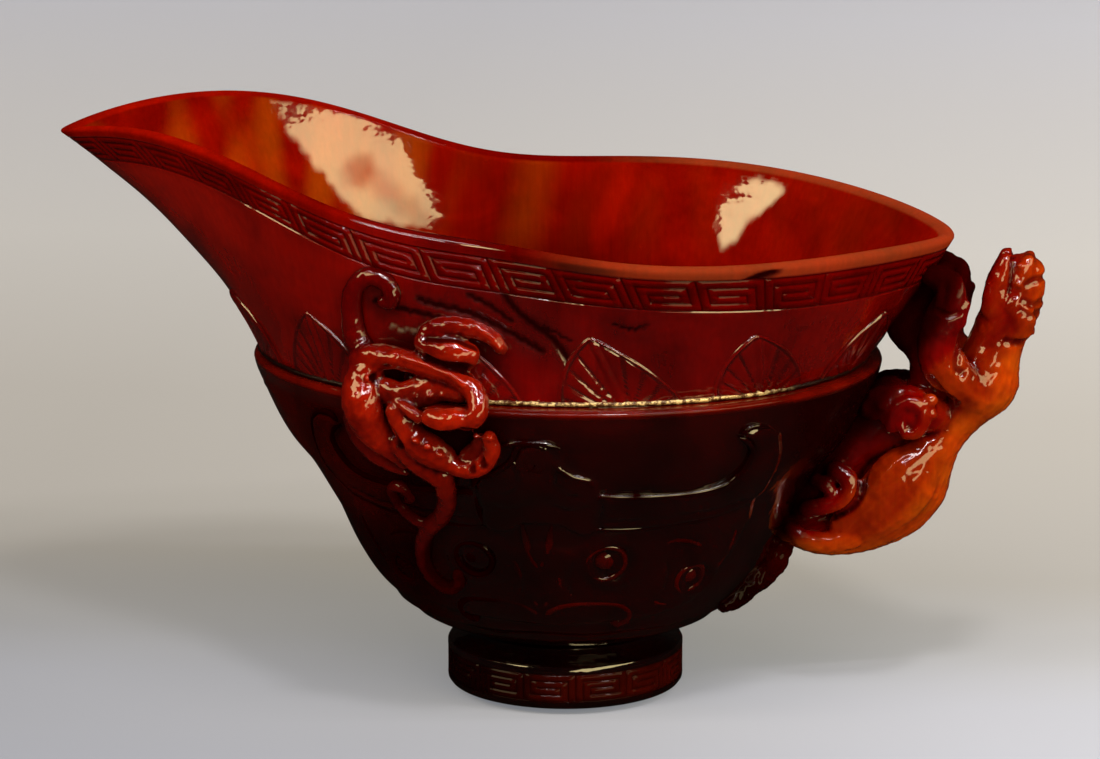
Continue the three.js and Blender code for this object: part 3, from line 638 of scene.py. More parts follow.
def limb_form(places, outward, wide, thick, sides=14, steps=6):
    """A limb with round ends along places, wide across and thick outwards: its points and faces."""
    thinnest = 0.1
    rows = spline(np.column_stack([places, outward, wide, thick]), steps)
    centre, out = rows[:, :3], rows[:, 3:6]
    wide, thick = np.maximum(rows[:, 6:], thinnest).T
    run = np.gradient(centre, axis=0)
    run /= np.linalg.norm(run, axis=1)[:, None]
    out = out - run * np.einsum("ij,ij->i", out, run)[:, None]
    out /= np.linalg.norm(out, axis=1)[:, None]
    side = np.cross(run, out)
    turn = np.arange(sides) * 2 * math.pi / sides
    points = []

    def ring(i, size, shift):
        across = side[i] * wide[i] * size
        points.append(
            centre[i] + run[i] * shift + np.cos(turn)[:, None] * across
            + np.sin(turn)[:, None] * out[i] * thick[i] * size)

    last = len(rows) - 1
    for a in (75, 50, 25):
        ring(0, math.cos(math.radians(a)), -min(wide[0], thick[0]) * math.sin(math.radians(a)))
    for i in range(len(rows)):
        ring(i, 1, 0)
    for a in (25, 50, 75):
        ring(last, math.cos(math.radians(a)), min(wide[last], thick[last]) * math.sin(math.radians(a)))
    body = np.vstack(points)
    faces = grid_faces(len(points), sides).tolist()
    faces += [tuple(range(sides))[::-1], tuple(range(len(body) - sides, len(body)))]
    return body, faces


def knob(spot, outward, radius, sides=10, step=(0.1, 0, 0)):
    """A round boss at a spot: a short limb of even girth."""
    spots = np.array([spot - np.array(step), spot, spot + np.array(step)])
    return limb_form(spots, np.array([outward] * 3), np.full(3, radius), np.full(3, radius), sides=sides)


def joined(bodies):
    """Points and faces of several bodies as one."""
    points, faces, start = [], [], 0
    for body, body_faces in bodies:
        points.append(body)
        faces += [tuple(i + start for i in face) for face in body_faces]
        start += len(body)
    return np.vstack(points), faces


def lumps(places, size):
    """Uneven hand work, -1 to 1, with lumps about so many millimetres apart."""
    k = 2 * math.pi / size
    x, y, z = places.T * k
    return (np.sin(x + 0.7 * np.sin(0.6 * z + 1.1)) * np.sin(z * 0.9 + 0.8 * np.sin(0.7 * x))
            + np.sin(0.63 * x - 0.8 * z + 0.5 * y + 2.0) * np.sin(0.9 * y + 0.4 * x)) / 2


seat_depth, glue_gap, floor_height = 5.0, 0.3, 16
waist_reach, waist_middle = (-50.3, 49.5, 41.4), -0.4
hollow_reach = (-46.3, 45.5, 37.4)
hollow_shares = [
    (0, 0), (0, 0.12), (0, 0.25), (0.045, 0.43), (0.13, 0.575), (0.28, 0.685), (0.5, 0.785), (0.72, 0.89),
    (0.89, 0.965), (1, 1),
]
# Reach to the spout, to the handle, to a side, and height: the socket for the foot first, then the wall
lower_rows = [(0, 0, 0, 13.3), (-8.3, 8.3, 8.3, 13.3), (-8.3, 8.3, 8.3, 9.8), (-13, 13, 13, 9.8)]
socket_rows, wall_rows = len(lower_rows), 124
swell_tall, swell_deep = 47.2, 37.4
arc = np.r_[0, np.cumsum(np.hypot(np.diff(swell[:, 0]) * swell_tall, np.diff(swell[:, 1]) * swell_deep))]
for step in np.linspace(0, arc[-1] - 0.9, wall_rows):
    height = neck_height + (ledge_height - neck_height) * np.interp(step, arc, swell[:, 0])
    ends = lower_place(np.array([0, math.pi, math.pi / 2]), np.array([height] * 3))
    lower_rows.append((ends[0, 0], ends[1, 0], -ends[2, 1], height))
for back, height in ((0, 56.1), (0.13, 56.5), (0.35, 56.78), (0.65, 56.94), (1.0, 57.0), (2.8, 57.0)):
    lower_rows.append((ledge_reach[0] + back, ledge_reach[1] - back, ledge_reach[2] - back, height))
seat_height = ledge_height - seat_depth - glue_gap
for height in (ledge_height, 54.0, seat_height):
    lower_rows.append((waist_reach[0] - glue_gap, waist_reach[1] + glue_gap, waist_reach[2] + glue_gap, height))
for share, girth in spline(hollow_shares, 4)[::-1]:
    height = floor_height + (seat_height - floor_height) * share
    lower_rows.append((*(reach * girth for reach in hollow_reach), height))
bowl_horn = polished_horn("dark_red_polished_horn", "#0f0000", "#240000", "#5c0801", 12, clearness=0.42)
lower_bowl = oval_piece("lower_bowl_wall", lower_rows, 560, bowl_horn)
turn_outward(lower_bowl.data)
places, normals = mesh_places(lower_bowl.data)
level = np.zeros(len(places))
lower_bowl.data.attributes["row"].data.foreach_get("value", level)
outside = (level > socket_rows) & (level < socket_rows + wall_rows - 1)
relief, cuts = lower_relief(places)
soften = ease((places[:, 2] - 11.5) / 3) * ease((56.2 - places[:, 2]) / 2)
ripple = 0.12 * np.sin(places[:, 0] * 0.41 + places[:, 2] * 0.33) * np.sin(places[:, 2] * 0.47 - places[:, 1] * 0.29)
places += normals * np.where(outside, (relief + ripple) * soften, 0)[:, None]
set_places(lower_bowl.data, places)
# Painted shade darkens the mask's cuts and the wall behind the handle and under the side dragons, which is also
# dull; the ledge top is darker
shade_behind_handle = 0.9 * ease((places[:, 0] - 34) / 9) * ease((places[:, 2] - 26) / 8)
on_ledge = ease((places[:, 2] - 55) / 0.8) * ease((places[:, 0] + 40) / 10)
painted_shadow = np.maximum(shade_behind_handle, 0.9 * shade_under_dragon(places))
mark(lower_bowl.data, "recess", np.where(outside, np.maximum.reduce([cuts * soften, 0.45 * on_ledge, painted_shadow]), 0))
# The wall lets light through towards the spout and near the ledge, and more of it inside
left_wall = 0.28 * ease((-places[:, 0] - 18) / 16) * ease((places[:, 2] - 26) / 12)
outer_thin = np.maximum(left_wall, 0.12 * ease((places[:, 2] - 40) / 20))
mark(lower_bowl.data, "thin", np.where(outside, outer_thin, 0.9 * ease((places[:, 2] - 14) / 40)))
unwiped = 0.9 * ease((-places[:, 0] - 12) / 8) * ease((55.5 - places[:, 2]) / 2)
outer_film = np.maximum.reduce([painted_shadow * 1.1, unwiped, 0.3 * on_ledge])
mark(lower_bowl.data, "film", np.where(outside, outer_film, 0.85))
lower_bowl.data.attributes.remove(lower_bowl.data.attributes["row"])
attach(lower_bowl, "root")
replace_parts(lower_bowl, "lower_bowl")

# The raised lines and eyes of the mask, on both halves of the face on both sides of the cup
mask_bodies = []
for side in (1, -1):
    for fold in (1, -1):
        lines = [(half, stand, spline(line, 3)) for half, stand, line in mask_ridges]
        for turn_at, height_at, radius, stand in eyes:
            around = np.radians(np.arange(0, 375, 15))
            wall_radius = 40 + 0.35 * height_at
            across = turn_at + radius * np.cos(around) / math.radians(1) / wall_radius
            lines.append((0.5, 0.85, np.column_stack([across, height_at + 0.72 * radius * np.sin(around)])))
        for half, stand, line in lines:
            turn_at = np.radians(90 + fold * (line[:, 0] - 90))
            middles = lower_place(turn_at, line[:, 1])
            outward = lower_place(turn_at, line[:, 1] - 0.5) - lower_place(turn_at, line[:, 1] + 0.5)
            along = lower_place(turn_at + 0.01, line[:, 1]) - lower_place(turn_at - 0.01, line[:, 1])
            outward = np.cross(outward, along)
            outward /= np.linalg.norm(outward, axis=1)[:, None]
            outward *= np.sign(np.einsum("ij,ij->i", outward, middles * [1, 1, 0]))[:, None]
            middles = middles + outward * (stand - half)
            # A line thins out at both ends, a ring doesn't
            ends = ease(np.minimum(np.arange(len(line)), np.arange(len(line))[::-1]) / 3 + 0.35)
            if np.allclose(line[0], line[-1]):
                ends = np.ones(len(line))
            mirror = [1, side, 1]
            mask_bodies.append(limb_form(
                middles * mirror, outward * mirror, half * ends, half * ends, sides=10, steps=2))
    for fold in (1, -1):
        for turn_at, height_at, radius, stand in eyes:
            turn_at = np.radians([90 + fold * (turn_at - 90)])
            middle = lower_place(turn_at, np.array([height_at]))[0] * [1, side, 1]
            outward = np.array([middle[0] * 0.6, middle[1], -22.0])
            outward /= np.linalg.norm(outward)
            mask_bodies.append(knob(middle - 0.3 * radius * outward, outward, 0.55 * radius, sides=20))
turned_bodies = []
for body, faces in mask_bodies:
    loose = mesh_of("ridge", body, faces)
    turn_outward(loose)
    turned_bodies.append((body, [tuple(face.vertices) for face in loose.polygons]))
    bpy.data.meshes.remove(loose)
mask_mesh = mesh_of("mask_ridges", *joined(turned_bodies))
mask_mesh.shade_smooth()
mask_mesh.materials.append(bowl_horn)
mask = plain_object("mask_ridges", mask_mesh)
places = mesh_places(mask_mesh)[0]
mark(mask_mesh, "film", 0.5 + 0.7 * lumps(places, 7) + ease((-4 - places[:, 0]) / 6))
mark(mask_mesh, "thin", 0.3 * ease((36 - places[:, 2]) / 6) * ease((places[:, 0] + 6) / 8))
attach(mask, "root")

# Upper bowl
# The upper section: a thin wall that flares to a wavy lip and a spout, red where light gets into it and orange at
# the lip. A key fret runs under the lip, leaves stand up from the waist, and drying has opened black cracks.

mouth_length, mouth_width, mouth_shift, low_rim, spout_rise = 150.6, 90.4, -10.6, 78.5, 16.5
# The rim at equal turns from the spout to the handle: shares of its half length, its half width and its rise
rim_along = [-1, -0.906, -0.683, -0.433, -0.206, -0.011, 0.19, 0.446, 0.726, 0.931, 1]
rim_across = [0, 0.217, 0.511, 0.75, 0.805, 0.816, 0.947, 1, 0.723, 0.3, 0]
rim_rise = [0.824, 0.945, 1, 0.721, 0.388, 0.248, 0.194, 0.139, 0.09, 0.036, 0]


def wave(shares, even, turn):
    """The smooth wave through shares at equal turns from spout to handle, mirrored or turned over at the ends."""
    last = len(shares) - 1
    curve = np.cos if even else np.sin
    total = 0
    for order in range(last + 1):
        weight = sum((0.5 if i in (0, last) else 1) * s * curve(order * math.pi * i / last)
                     for i, s in enumerate(shares)) * 2 / last
        total = total + weight * (0.5 if even and order in (0, last) else 1) * curve(order * turn)
    return total


def rim_place(turn):
    """A place on the rim of the mouth."""
    return np.stack([
        mouth_shift + mouth_length / 2 * wave(rim_along, True, turn),
        -mouth_width / 2 * wave(rim_across, False, turn),
        low_rim + spout_rise * wave(rim_rise, True, turn),
    ], -1)


def upper_place(turn, rise):
    """A place on the outside of the upper section; rise is 0 at the ledge and 1 at the lip."""
    half = (waist_reach[1] - waist_reach[0]) / 2
    waist = np.stack([
        waist_middle - half * np.cos(turn), -waist_reach[2] * np.sin(turn), ledge_height + 0 * turn], -1)
    rim = rim_place(turn)
    # How early the wall flares: late under the spout, early at the handle
    bend = 0.43 - 0.17 * np.cos(turn)
    spread = (2 * rise * (1 - rise) * bend + rise * rise)[..., None]
    place = waist + (rim - waist) * spread
    place[..., 2] = ledge_height + (rim[..., 2] - ledge_height) * rise
    return place


def run_along(places):
    """The distance run from row to row of places."""
    steps = np.linalg.norm(np.diff(places, axis=0), axis=-1)
    return np.concatenate([np.zeros_like(steps[:1]), np.cumsum(steps, axis=0)])


upper_columns = 640
turns = np.arange(upper_columns) * 2 * math.pi / upper_columns
rises = np.linspace(0, 1, 81)
sheet = upper_place(turns[None, :] + 0 * rises[:, None], rises[:, None] + 0 * turns[None, :])
up_wall = run_along(sheet)
wall_run = up_wall[-1]


def rise_below_lip(depth):
    """The rise of the places that lie so far below the lip, measured down the wall at every turn."""
    return np.array([np.interp(wall_run[c] - depth[c], up_wall[:, c], rises) for c in range(upper_columns)])


def ring_normals(ring):
    """Level directions out of a ring of places."""
    ahead = np.roll(ring, -1, axis=0) - np.roll(ring, 1, axis=0)
    out = np.stack([ahead[:, 1], -ahead[:, 0], 0 * ahead[:, 0]], -1)
    return out / np.linalg.norm(out, axis=1)[:, None]


# Depths below the lip: the fret's band, how far the lip is rounded, and the rings down to below the band
fret_top, fret_low, fret_depth = 2.5, 8.8, 0.55
lip_round = 1.15
depths = [lip_round, 1.6, 2.1, 2.4, 2.5, 2.6, 4.2, 5.9, 7.4, 8.7, 8.8, 8.9, 9.2]
outer_rises = [rise_below_lip(0 * turns + d) for d in depths]
outer_rises += [rise_below_lip(depths[-1] + (wall_run - depths[-1]) * s) for s in np.linspace(0, 1, 40)[1:]]
outer = np.stack([upper_place(turns, r) for r in outer_rises])
outer_rises = np.stack(outer_rises)
inner_rises = [rise_below_lip(0 * turns + lip_round)]
inner_rises += [rise_below_lip(lip_round + (wall_run - lip_round) * s) for s in np.linspace(0, 1, 36)[1:]]
inner_rises = np.stack(inner_rises)
# Thickness of the wall at the waist and at the lip
waist_wall, lip_wall = 4, 2.6
inner = []
for r in inner_rises:
    ring = upper_place(turns, r)
    inner.append(ring - ring_normals(ring) * (waist_wall + (lip_wall - waist_wall) * r)[:, None])
inner = np.stack(inner)
# The lip turns over in a half round from the outer edge to the inner one
middle_lip = (outer[0] + inner[0]) / 2
crown = rim_place(turns)
crown[:, :2] = middle_lip[:, :2] + (crown[:, :2] - outer[0][:, :2]) * 0.5
lip = [
    middle_lip + (outer[0] - middle_lip) * math.cos(a) + (crown - middle_lip) * math.sin(a)
    for a in np.radians([22, 45, 68, 90, 112, 135, 158])
]
seat_ring = outer[-1].copy()
seat_ring[:, 2] = ledge_height - seat_depth
seat_inner = seat_ring - ring_normals(seat_ring) * waist_wall
rings = np.stack([*outer[::-1], *lip, *inner, seat_inner, seat_ring])
ring_faces = grid_faces(len(rings), upper_columns, loop_rows=True)
upper_mesh = mesh_of("upper_bowl_wall", rings.reshape(-1, 3), ring_faces.tolist())
upper_mesh.shade_smooth()
upper_bowl = plain_object("upper_bowl_wall", upper_mesh)
turn_outward(upper_mesh)

# Cracks that opened as the horn dried: half width, then a line in degrees from the spout and height
cracks = [
    (0.75, [(93.8, 75.3), (94.4, 73.2), (96.3, 70.9), (99.5, 68.4), (100.9, 65.8), (101.5, 62.6)]),
    (0.68, [(75.5, 73.1), (79.6, 72.2), (85.2, 71.3), (88.7, 70), (93.5, 67.7), (96.9, 65.8)]),
    (0.6, [(66.2, 72.3), (68.2, 72), (72, 71.3), (77.2, 70.5), (80.4, 69.6)]),
    (0.55, [(86.3, 74.1), (90, 72.5), (93.2, 70.2)]),
    (0.3, [(113.2, 70.8), (116, 70), (119, 70.8)]),
    (0.3, [(97.5, 69.2), (99.6, 69.6), (103.4, 67.6)]),
    (0.28, [(116.5, 75.4), (118.6, 74.6), (121.5, 74.9)]),
]


def wall_spot(turn_at, height):
    """A place on the upper wall from degrees and height."""
    turn_at = np.radians([turn_at])
    rim_at = rim_place(turn_at)[0, 2]
    return upper_place(turn_at, np.array([(height - ledge_height) / (rim_at - ledge_height)]))[0]


places, normals = mesh_places(upper_mesh)
ring_of = np.arange(len(places)) // upper_columns
is_outer = ring_of < len(outer)
inside = ring_of >= len(outer) + len(lip)
# Depth below the lip, down the wall
below = np.zeros(len(places))
below[is_outer] = (wall_run[None, :] - np.stack([
    np.array([np.interp(r[c], rises, up_wall[:, c]) for c in range(upper_columns)]) for r in outer_rises[::-1]
])).reshape(-1)
band = np.where(is_outer & (below > fret_top + 0.05) & (below < fret_low - 0.05), 1.0, 0.0)
crack, stain = np.zeros(len(places)), np.zeros(len(places))
for half, line in cracks:
    line = spline(line, 6)
    wobble = 0.25 * np.sin(np.arange(len(line)) * 2.3)
    chain = np.array([wall_spot(turn_at, height) for turn_at, height in zip(line[:, 0], line[:, 1] + wobble)])
    away = from_line(places, chain)
    crack = np.maximum(crack, ease(1.3 - away / half))
    stain = np.maximum(stain, 0.5 * half * ease(1.2 - away / 3.2))
crack = np.where(is_outer, crack, 0)
# Painted shadow under the side dragon, which joins the stains in attribute recess
painted_shadow = np.where(is_outer, 0.85 * shade_under_dragon(places), 0)
stain = np.maximum(np.where(is_outer, stain, 0), painted_shadow)
# A nick in the near lip, and a dark stain beside it, in X and the depth below the lip
near_outer = is_outer & (places[:, 1] < 0)
flat = np.column_stack([places[:, 0], below, 0 * below])
nick = ease(1.4 - from_line(flat, np.array([(34.2, 2.9, 0), (36, 2.0, 0), (38.4, 1.3, 0)])) / 0.75)
nick = np.where(near_outer, nick, 0)
blot = 0.6 * ease(1.6 - np.hypot((places[:, 0] - 9) / 4.5, (below - 1.4) / 1.6))
blot = np.where(near_outer, blot, 0)
# The hand's unevenness on both faces of the wall; the last two rings, in the seat, are true
x, y, z = places.T
ripple = 0.1 * np.sin(x * 0.37 + z * 0.5) * np.sin(z * 0.31 + y * 0.43)
hand_waves = 0.11 * np.sin(x * 0.21 + z * 0.17) * np.cos(z * 0.33 - x * 0.12)
out = np.where(is_outer, ripple * ease((below - 9) / 3) - 0.22 * crack - 0.35 * nick, 0) - fret_depth * band
out += np.where(inside & (ring_of < len(rings) - 2), hand_waves, 0)
places += normals * out[:, None]
set_places(upper_mesh, places)
mark(upper_mesh, "recess", np.maximum.reduce([crack, stain, nick, blot, band * 0.8]))
# Where the horn is clear: along the lip, under the spout and inside
towards_spout = ease(-(places[:, 0] + 5) / 60)
towards_handle = ease((places[:, 0] + 4) / 26)
on_lip = np.where(is_outer, ease((2.6 - below) / 0.6), 1.0)
lip_clear = on_lip * (0.05 + 0.4 * towards_handle + 0.1 * towards_spout)
under_spout = np.exp(-((places[:, 0] + 62) / 13) ** 2) * ease((below - 8) / 3) * ease((26 - below) / 9)
# Part of the wall's lightening towards the spout is painted light
body_clear = 0.1 + 0.5 * towards_spout + 0.4 * under_spout + 0.14 * ease((places[:, 0] - 32) / 14)
inside_clear = 0.5 + 0.08 * ease((-places[:, 0] - 15) / 30) - 0.32 * ease((-places[:, 0] - 56) / 14)
inside_clear *= (0.55 + 0.45 * ease((places[:, 2] - 58) / 14)) * (1 + 0.3 * lumps(places, 21))
mark(upper_mesh, "thin", np.where(inside, inside_clear, np.maximum(lip_clear, body_clear)) * (1 - crack))
# Honey streaks inside, and a honey lip
above_waist = ease((places[:, 2] - 60) / 12)
figure = ease(0.35 + 0.8 * lumps(places * [1, 0.7, 0.35], 12)) * above_waist
inside_honey = figure * (0.02 + 0.25 * ease((-places[:, 0] - 18) / 14))
inside_honey += 0.13 * ease(1 - np.abs(places[:, 0] + 11 - 0.2 * (places[:, 2] - 75)) / 6) * above_waist
mark(upper_mesh, "honey", np.where(inside, inside_honey, 0.13 * on_lip * towards_handle) * (1 - nick) * (1 - crack))
# Old wax beside the side dragon's crest, and a trace of it along the lip
wax_spots = np.array([wall_spot(a, h) for a, h in spline([(67.6, 68.6), (69, 68), (71.6, 68), (74.6, 68.4)], 4)])
crumbs = ease(0.5 + 1.2 * np.sin(places[:, 0] * 2.9) * np.sin(places[:, 2] * 4.1))
wax_share = ease(1.5 - from_line(places, wax_spots) / 0.4) * crumbs
lip_wax = 0.04 * on_lip * towards_handle * ~inside * (1 - nick)
mark(upper_mesh, "wax", np.where(is_outer, wax_share, 0) * 0.3 + lip_wax)
# Wiped bright inside only where a cloth reached: outlines in X and Z, and what a share below 0 dims again
wiped = [
    (1, [(-54.1, 92.6), (-45.0, 91), (-33.5, 87.6), (-26.6, 85.6), (-20, 84), (-22.5, 79.0), (-24.6, 74.6),
         (-26.1, 69.4), (-33.0, 70.8), (-38.6, 72.3), (-42.9, 77.1), (-46.8, 81.9), (-50.5, 87.1)]),
    (-0.6, [(-42.4, 80.6), (-40.4, 83), (-38.2, 82.4), (-37.4, 80), (-39.2, 77.6), (-41.6, 78)]),
    (-0.35, [(-38.4, 81), (-33.5, 77.4), (-29.5, 73.8), (-25.5, 69), (-29.6, 69.4), (-34.5, 73.6), (-39.2, 78.2)]),
    (1, [(21.7, 77.2), (25.7, 78.2), (31.1, 78.5), (32.9, 77.2), (29.8, 74.4), (26.3, 71.5), (25.0, 68.5),
         (22.2, 67.1), (20.8, 70.2), (20.9, 74.6)]),
]
across, up = places[:, 0] + 0.5 * lumps(places, 5), places[:, 2] + 0.5 * lumps(places[:, ::-1], 4)
flat = np.column_stack([across, up, 0 * up])
bright = np.zeros(len(places))
for share, outline in wiped:
    corners = np.array(outline)
    edge_line = np.column_stack([np.vstack([corners, corners[:1]]), np.zeros(len(corners) + 1)])
    away = from_line(flat, edge_line)
    soft_edge = 1.1 if share > 0 else 3.0
    bright += share * ease(0.5 + np.where(within(across, up, corners), away, -away) / soft_edge)
film = np.where(inside, 1 - np.clip(bright, 0, 1), 0.3 * ease((-places[:, 0] - 8) / 12))
lip_bright = ease((places[:, 0] + 30) / 4) * ease((-4 - places[:, 0]) / 4)
film = np.where((ring_of >= len(outer) - 3) & ~inside, 1 - lip_bright * (places[:, 1] < 0), film)
mark(upper_mesh, "film", np.maximum.reduce([film, crack, nick, painted_shadow * 1.15]))
red_horn = polished_horn("red_polished_horn", "#3c0000", "#600000", "#9a0e00", 14, clearness=0.5)
upper_mesh.materials.append(red_horn)
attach(upper_bowl, "root")
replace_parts(upper_bowl, "upper_bowl")


def closed_ring(values):
    """A ring with its first entry once more at its end."""
    return np.concatenate([values, values[:1]])


# Key fret under the lip: sixteen pairs of cells that face each other, cut flat here and bent on to the wall
fret_depths = np.linspace(fret_low + 0.2, fret_top - 0.2, 15)
fret_sheet = np.stack([closed_ring(upper_place(turns, rise_below_lip(0 * turns + d))) for d in fret_depths])
fret_arc = run_along(fret_sheet[7])
fret_run = fret_arc[-1]
fret_up = np.repeat(fret_low - fret_depths, upper_columns + 1)
lip_fret = grown("lip_fret", frieze_on_wall, {
    "Wall": wall_sheet(fret_sheet, np.broadcast_to(fret_arc, fret_sheet.shape[:2]), fret_up),
    "Tile": fret_tile(fret_run / 16, fret_low - fret_top, 0.24, -0.3, -0.9),
    "Count": 16, "Run": fret_run * MM, "Material": red_horn,
})
turn_outward(lip_fret.data)
mark(lip_fret.data, "film", 0.9)
mark(lip_fret.data, "thin", 0.06 + 0.12 * ease(-(mesh_places(lip_fret.data)[0][:, 0] + 5) / 60))
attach(lip_fret, "root")


def leaf_tile(wide, tall, stand):
    """A plantain leaf in low relief, with a midrib, fanned veins and a cut border, as one slab."""
    across, up = np.meshgrid(np.linspace(-1, 1, 41), np.linspace(0, 1, 37), indexing="ij")
    half = wide / 2 * np.clip(1 - up ** 1.6, 0.004, 1) ** 0.85
    x, y = across * half, up * tall
    edge_mm = (1 - np.abs(across)) * half
    rounded = ease(edge_mm / 0.6) * ease((1 - up) / 0.05)
    vein = np.abs(np.sin(np.arctan2(np.abs(x), y + 2.5) * 11))
    veins = np.exp(-(vein / 0.28) ** 2) * ease((edge_mm - 1.1) / 0.5) * ease((np.abs(x) - 0.5) / 0.5)
    border = np.exp(-((edge_mm - 1.1) / 0.28) ** 2)
    rib = np.exp(-(x / 0.45) ** 2)
    z = stand * rounded - 0.2 * veins - 0.2 * border + 0.16 * rib - 0.14 * np.exp(-((np.abs(x) - 0.85) / 0.25) ** 2)
    z = np.where((np.abs(across) > 0.999) | (up > 0.999) | (up < 0.001), -0.3, z)
    # Painted shade in the cut veins and border, and where the leaf's edge meets the wall
    dark = np.maximum(veins, border) * 0.8 + np.exp(-(edge_mm / 0.3) ** 2) * 0.6
    return slab_object("leaf_tile", np.stack([x, y, z], -1), -0.8, dark, dark.reshape(-1))


# Twelve leaves stand round the waist
leaf_sheet = np.stack([closed_ring(upper_place(turns, 0 * turns + r)) for r in np.linspace(0, 1, 41)])
leaf_up = run_along(leaf_sheet)
leaf_arc = run_along(leaf_sheet[10])
leaf_run = leaf_arc[-1]
waist_leaves = grown("waist_leaves", frieze_on_wall, {
    "Wall": wall_sheet(leaf_sheet, np.broadcast_to(leaf_arc, leaf_sheet.shape[:2]), leaf_up),
    "Tile": leaf_tile(20.5, 12.8, 0.5), "Count": 12, "Run": leaf_run * MM, "Material": red_horn,
})
turn_outward(waist_leaves.data)
places = mesh_places(waist_leaves.data)[0]
mark(waist_leaves.data, "thin", 0.14 + 0.12 * ease(-(places[:, 0] + 5) / 60))
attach(waist_leaves, "root")

# Bead at the waist
# A bead of glue run into the corner above the ledge and gilded with gold powder, most of which has worn away.


def bead_tree():
    """A bead that follows a path, with an uneven skin."""
    tree, given = new_tree("bead_on_path", {
        "Path": "NodeSocketObject", "Girth": "NodeSocketFloat", "Unevenness": "NodeSocketFloat",
        "Seed": "NodeSocketFloat", "Material": "NodeSocketMaterial",
    })
    path = add_node(tree, "GeometryNodeObjectInfo", {"Object": given["Path"]}, out="Geometry")
    curve = add_node(tree, "GeometryNodeMeshToCurve", {"Mesh": path}, out="Curve")
    section = add_node(tree, "GeometryNodeCurvePrimitiveCircle", {
        "Resolution": 10, "Radius": given["Girth"],
    }, mode="RADIUS", out="Curve")
    bead = add_node(tree, "GeometryNodeCurveToMesh", {"Curve": curve, "Profile Curve": section}, out="Mesh")
    position = add_node(tree, "GeometryNodeInputPosition", out="Position")
    normal = add_node(tree, "GeometryNodeInputNormal", out="Normal")
    grain = add_node(tree, "ShaderNodeTexNoise", {
        "Vector": position, "W": given["Seed"], "Scale": 900.0, "Detail": 3.0,
    }, noise_dimensions="4D", out="Fac")
    stand = add_node(tree, "ShaderNodeMath", {
        0: add_node(tree, "ShaderNodeMath", {0: grain, 1: 0.5}, operation="SUBTRACT", out="Value"),
        1: given["Unevenness"],
    }, operation="MULTIPLY", out="Value")
    offset = add_node(tree, "ShaderNodeVectorMath", {0: normal, "Scale": stand}, operation="SCALE", out="Vector")
    bead = add_node(tree, "GeometryNodeSetPosition", {"Geometry": bead, "Offset": offset}, out="Geometry")
    smooth = add_node(tree, "GeometryNodeSetShadeSmooth", {"Geometry": bead}, out="Geometry")
    finish_tree(tree, smooth, given["Material"])
    return tree


def worn_gilding():
    """Gold powder in dried glue: dull metal where it is left, pale chalky glue where it has gone, dirt between."""
    material, tree = new_material("worn_gold_powder_on_glue")
    place = add_node(tree, "ShaderNodeTexCoord", out="Object")
    grains = add_node(tree, "ShaderNodeTexNoise", {
        "Vector": place, "Scale": 1 / (0.9 * MM), "Detail": 5.0, "Roughness": 0.7,
    }, out="Fac")
    patches = add_node(tree, "ShaderNodeTexNoise", {
        "Vector": place, "Scale": 1 / (14 * MM), "Detail": 2.0,
    }, out="Fac")
    left = add_node(tree, "ShaderNodeMapRange", {"Value": grains, "From Min": 0.45, "From Max": 0.58}, out="Result")
    worn = add_node(tree, "ShaderNodeAttribute", attribute_name="recess", out="Fac")
    glue = add_node(tree, "ShaderNodeMix", {
        "Factor": left, "A": colour("#4e2a0c"), "B": colour("#e2c68c"),
    }, data_type="RGBA", out="Result")
    dirt = add_node(tree, "ShaderNodeMix", {
        "Factor": worn, "A": glue, "B": colour("#1c0705"),
    }, data_type="RGBA", out="Result")
    metal = add_node(tree, "ShaderNodeMapRange", {
        "Value": patches, "From Min": 0.4, "From Max": 0.6, "To Max": 0.5,
    }, out="Result")
    bump = add_node(tree, "ShaderNodeBump", {"Height": grains, "Strength": 0.9, "Distance": 0.25 * MM}, out="Normal")
    shader = add_node(tree, "ShaderNodeBsdfPrincipled", {
        "Base Color": dirt, "Metallic": metal, "Roughness": 0.32, "Normal": bump,
    })
    add_node(tree, "ShaderNodeOutputMaterial", {"Surface": shader.outputs["BSDF"]})
    return material


bead_ring = closed_ring(upper_place(turns[::2], 0 * turns[::2] + 0.025))
bead_ring += closed_ring(ring_normals(bead_ring[:-1])) * 0.42
bead_ring[:, 2] = ledge_height + 0.5
seam_bead = grown("seam_bead_gilded", bead_tree(), {
    "Path": outline_object("bead_path", bead_ring), "Girth": 0.36 * MM, "Unevenness": 0.55 * MM, "Seed": 7.0,
    "Material": worn_gilding(),
})
turn_outward(seam_bead.data)
places = mesh_places(seam_bead.data)[0]
# Dirt covers the gold but for a stretch on each side, from the side dragon to the handle
bead_turn = np.degrees(np.abs(np.arctan2(-places[:, 1], -places[:, 0])))
mark(seam_bead.data, "recess", 1 - ease((bead_turn - 70) / 14) * ease((150 - bead_turn) / 12))
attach(seam_bead, "root")
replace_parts(seam_bead, "seam_bead")

# Side dragons
# A hornless dragon climbs each side over the ledge: a looped crest, a clenched head, a curled body round a hollow,
# a fist below and a forked tail. Each is carved from clearer horn, undercut, polished and glued on the wall.


def wall_place(turn, height, out):
    """A place on the cup's outside, eased over the ledge, and lifted out of the wall; and the way out of it."""
    def place(at):
        at = np.array([at])
        if height <= ledge_height:
            return lower_place(at, np.array([height]))[0]
        share = (height - ledge_height) / (rim_place(at)[0, 2] - ledge_height)
        step = (lower_place(at, np.array([ledge_height])) - upper_place(at, np.array([0.0])))[0]
        fade = max(0.0, 1 - (height - ledge_height) / 9)
        return upper_place(at, np.array([share]))[0] + step * fade * fade

    ahead = place(turn + 0.03) - place(turn - 0.03)
    outward = np.array([ahead[1], -ahead[0], 0])
    outward /= np.linalg.norm(outward)
    return place(turn) + outward * out, outward


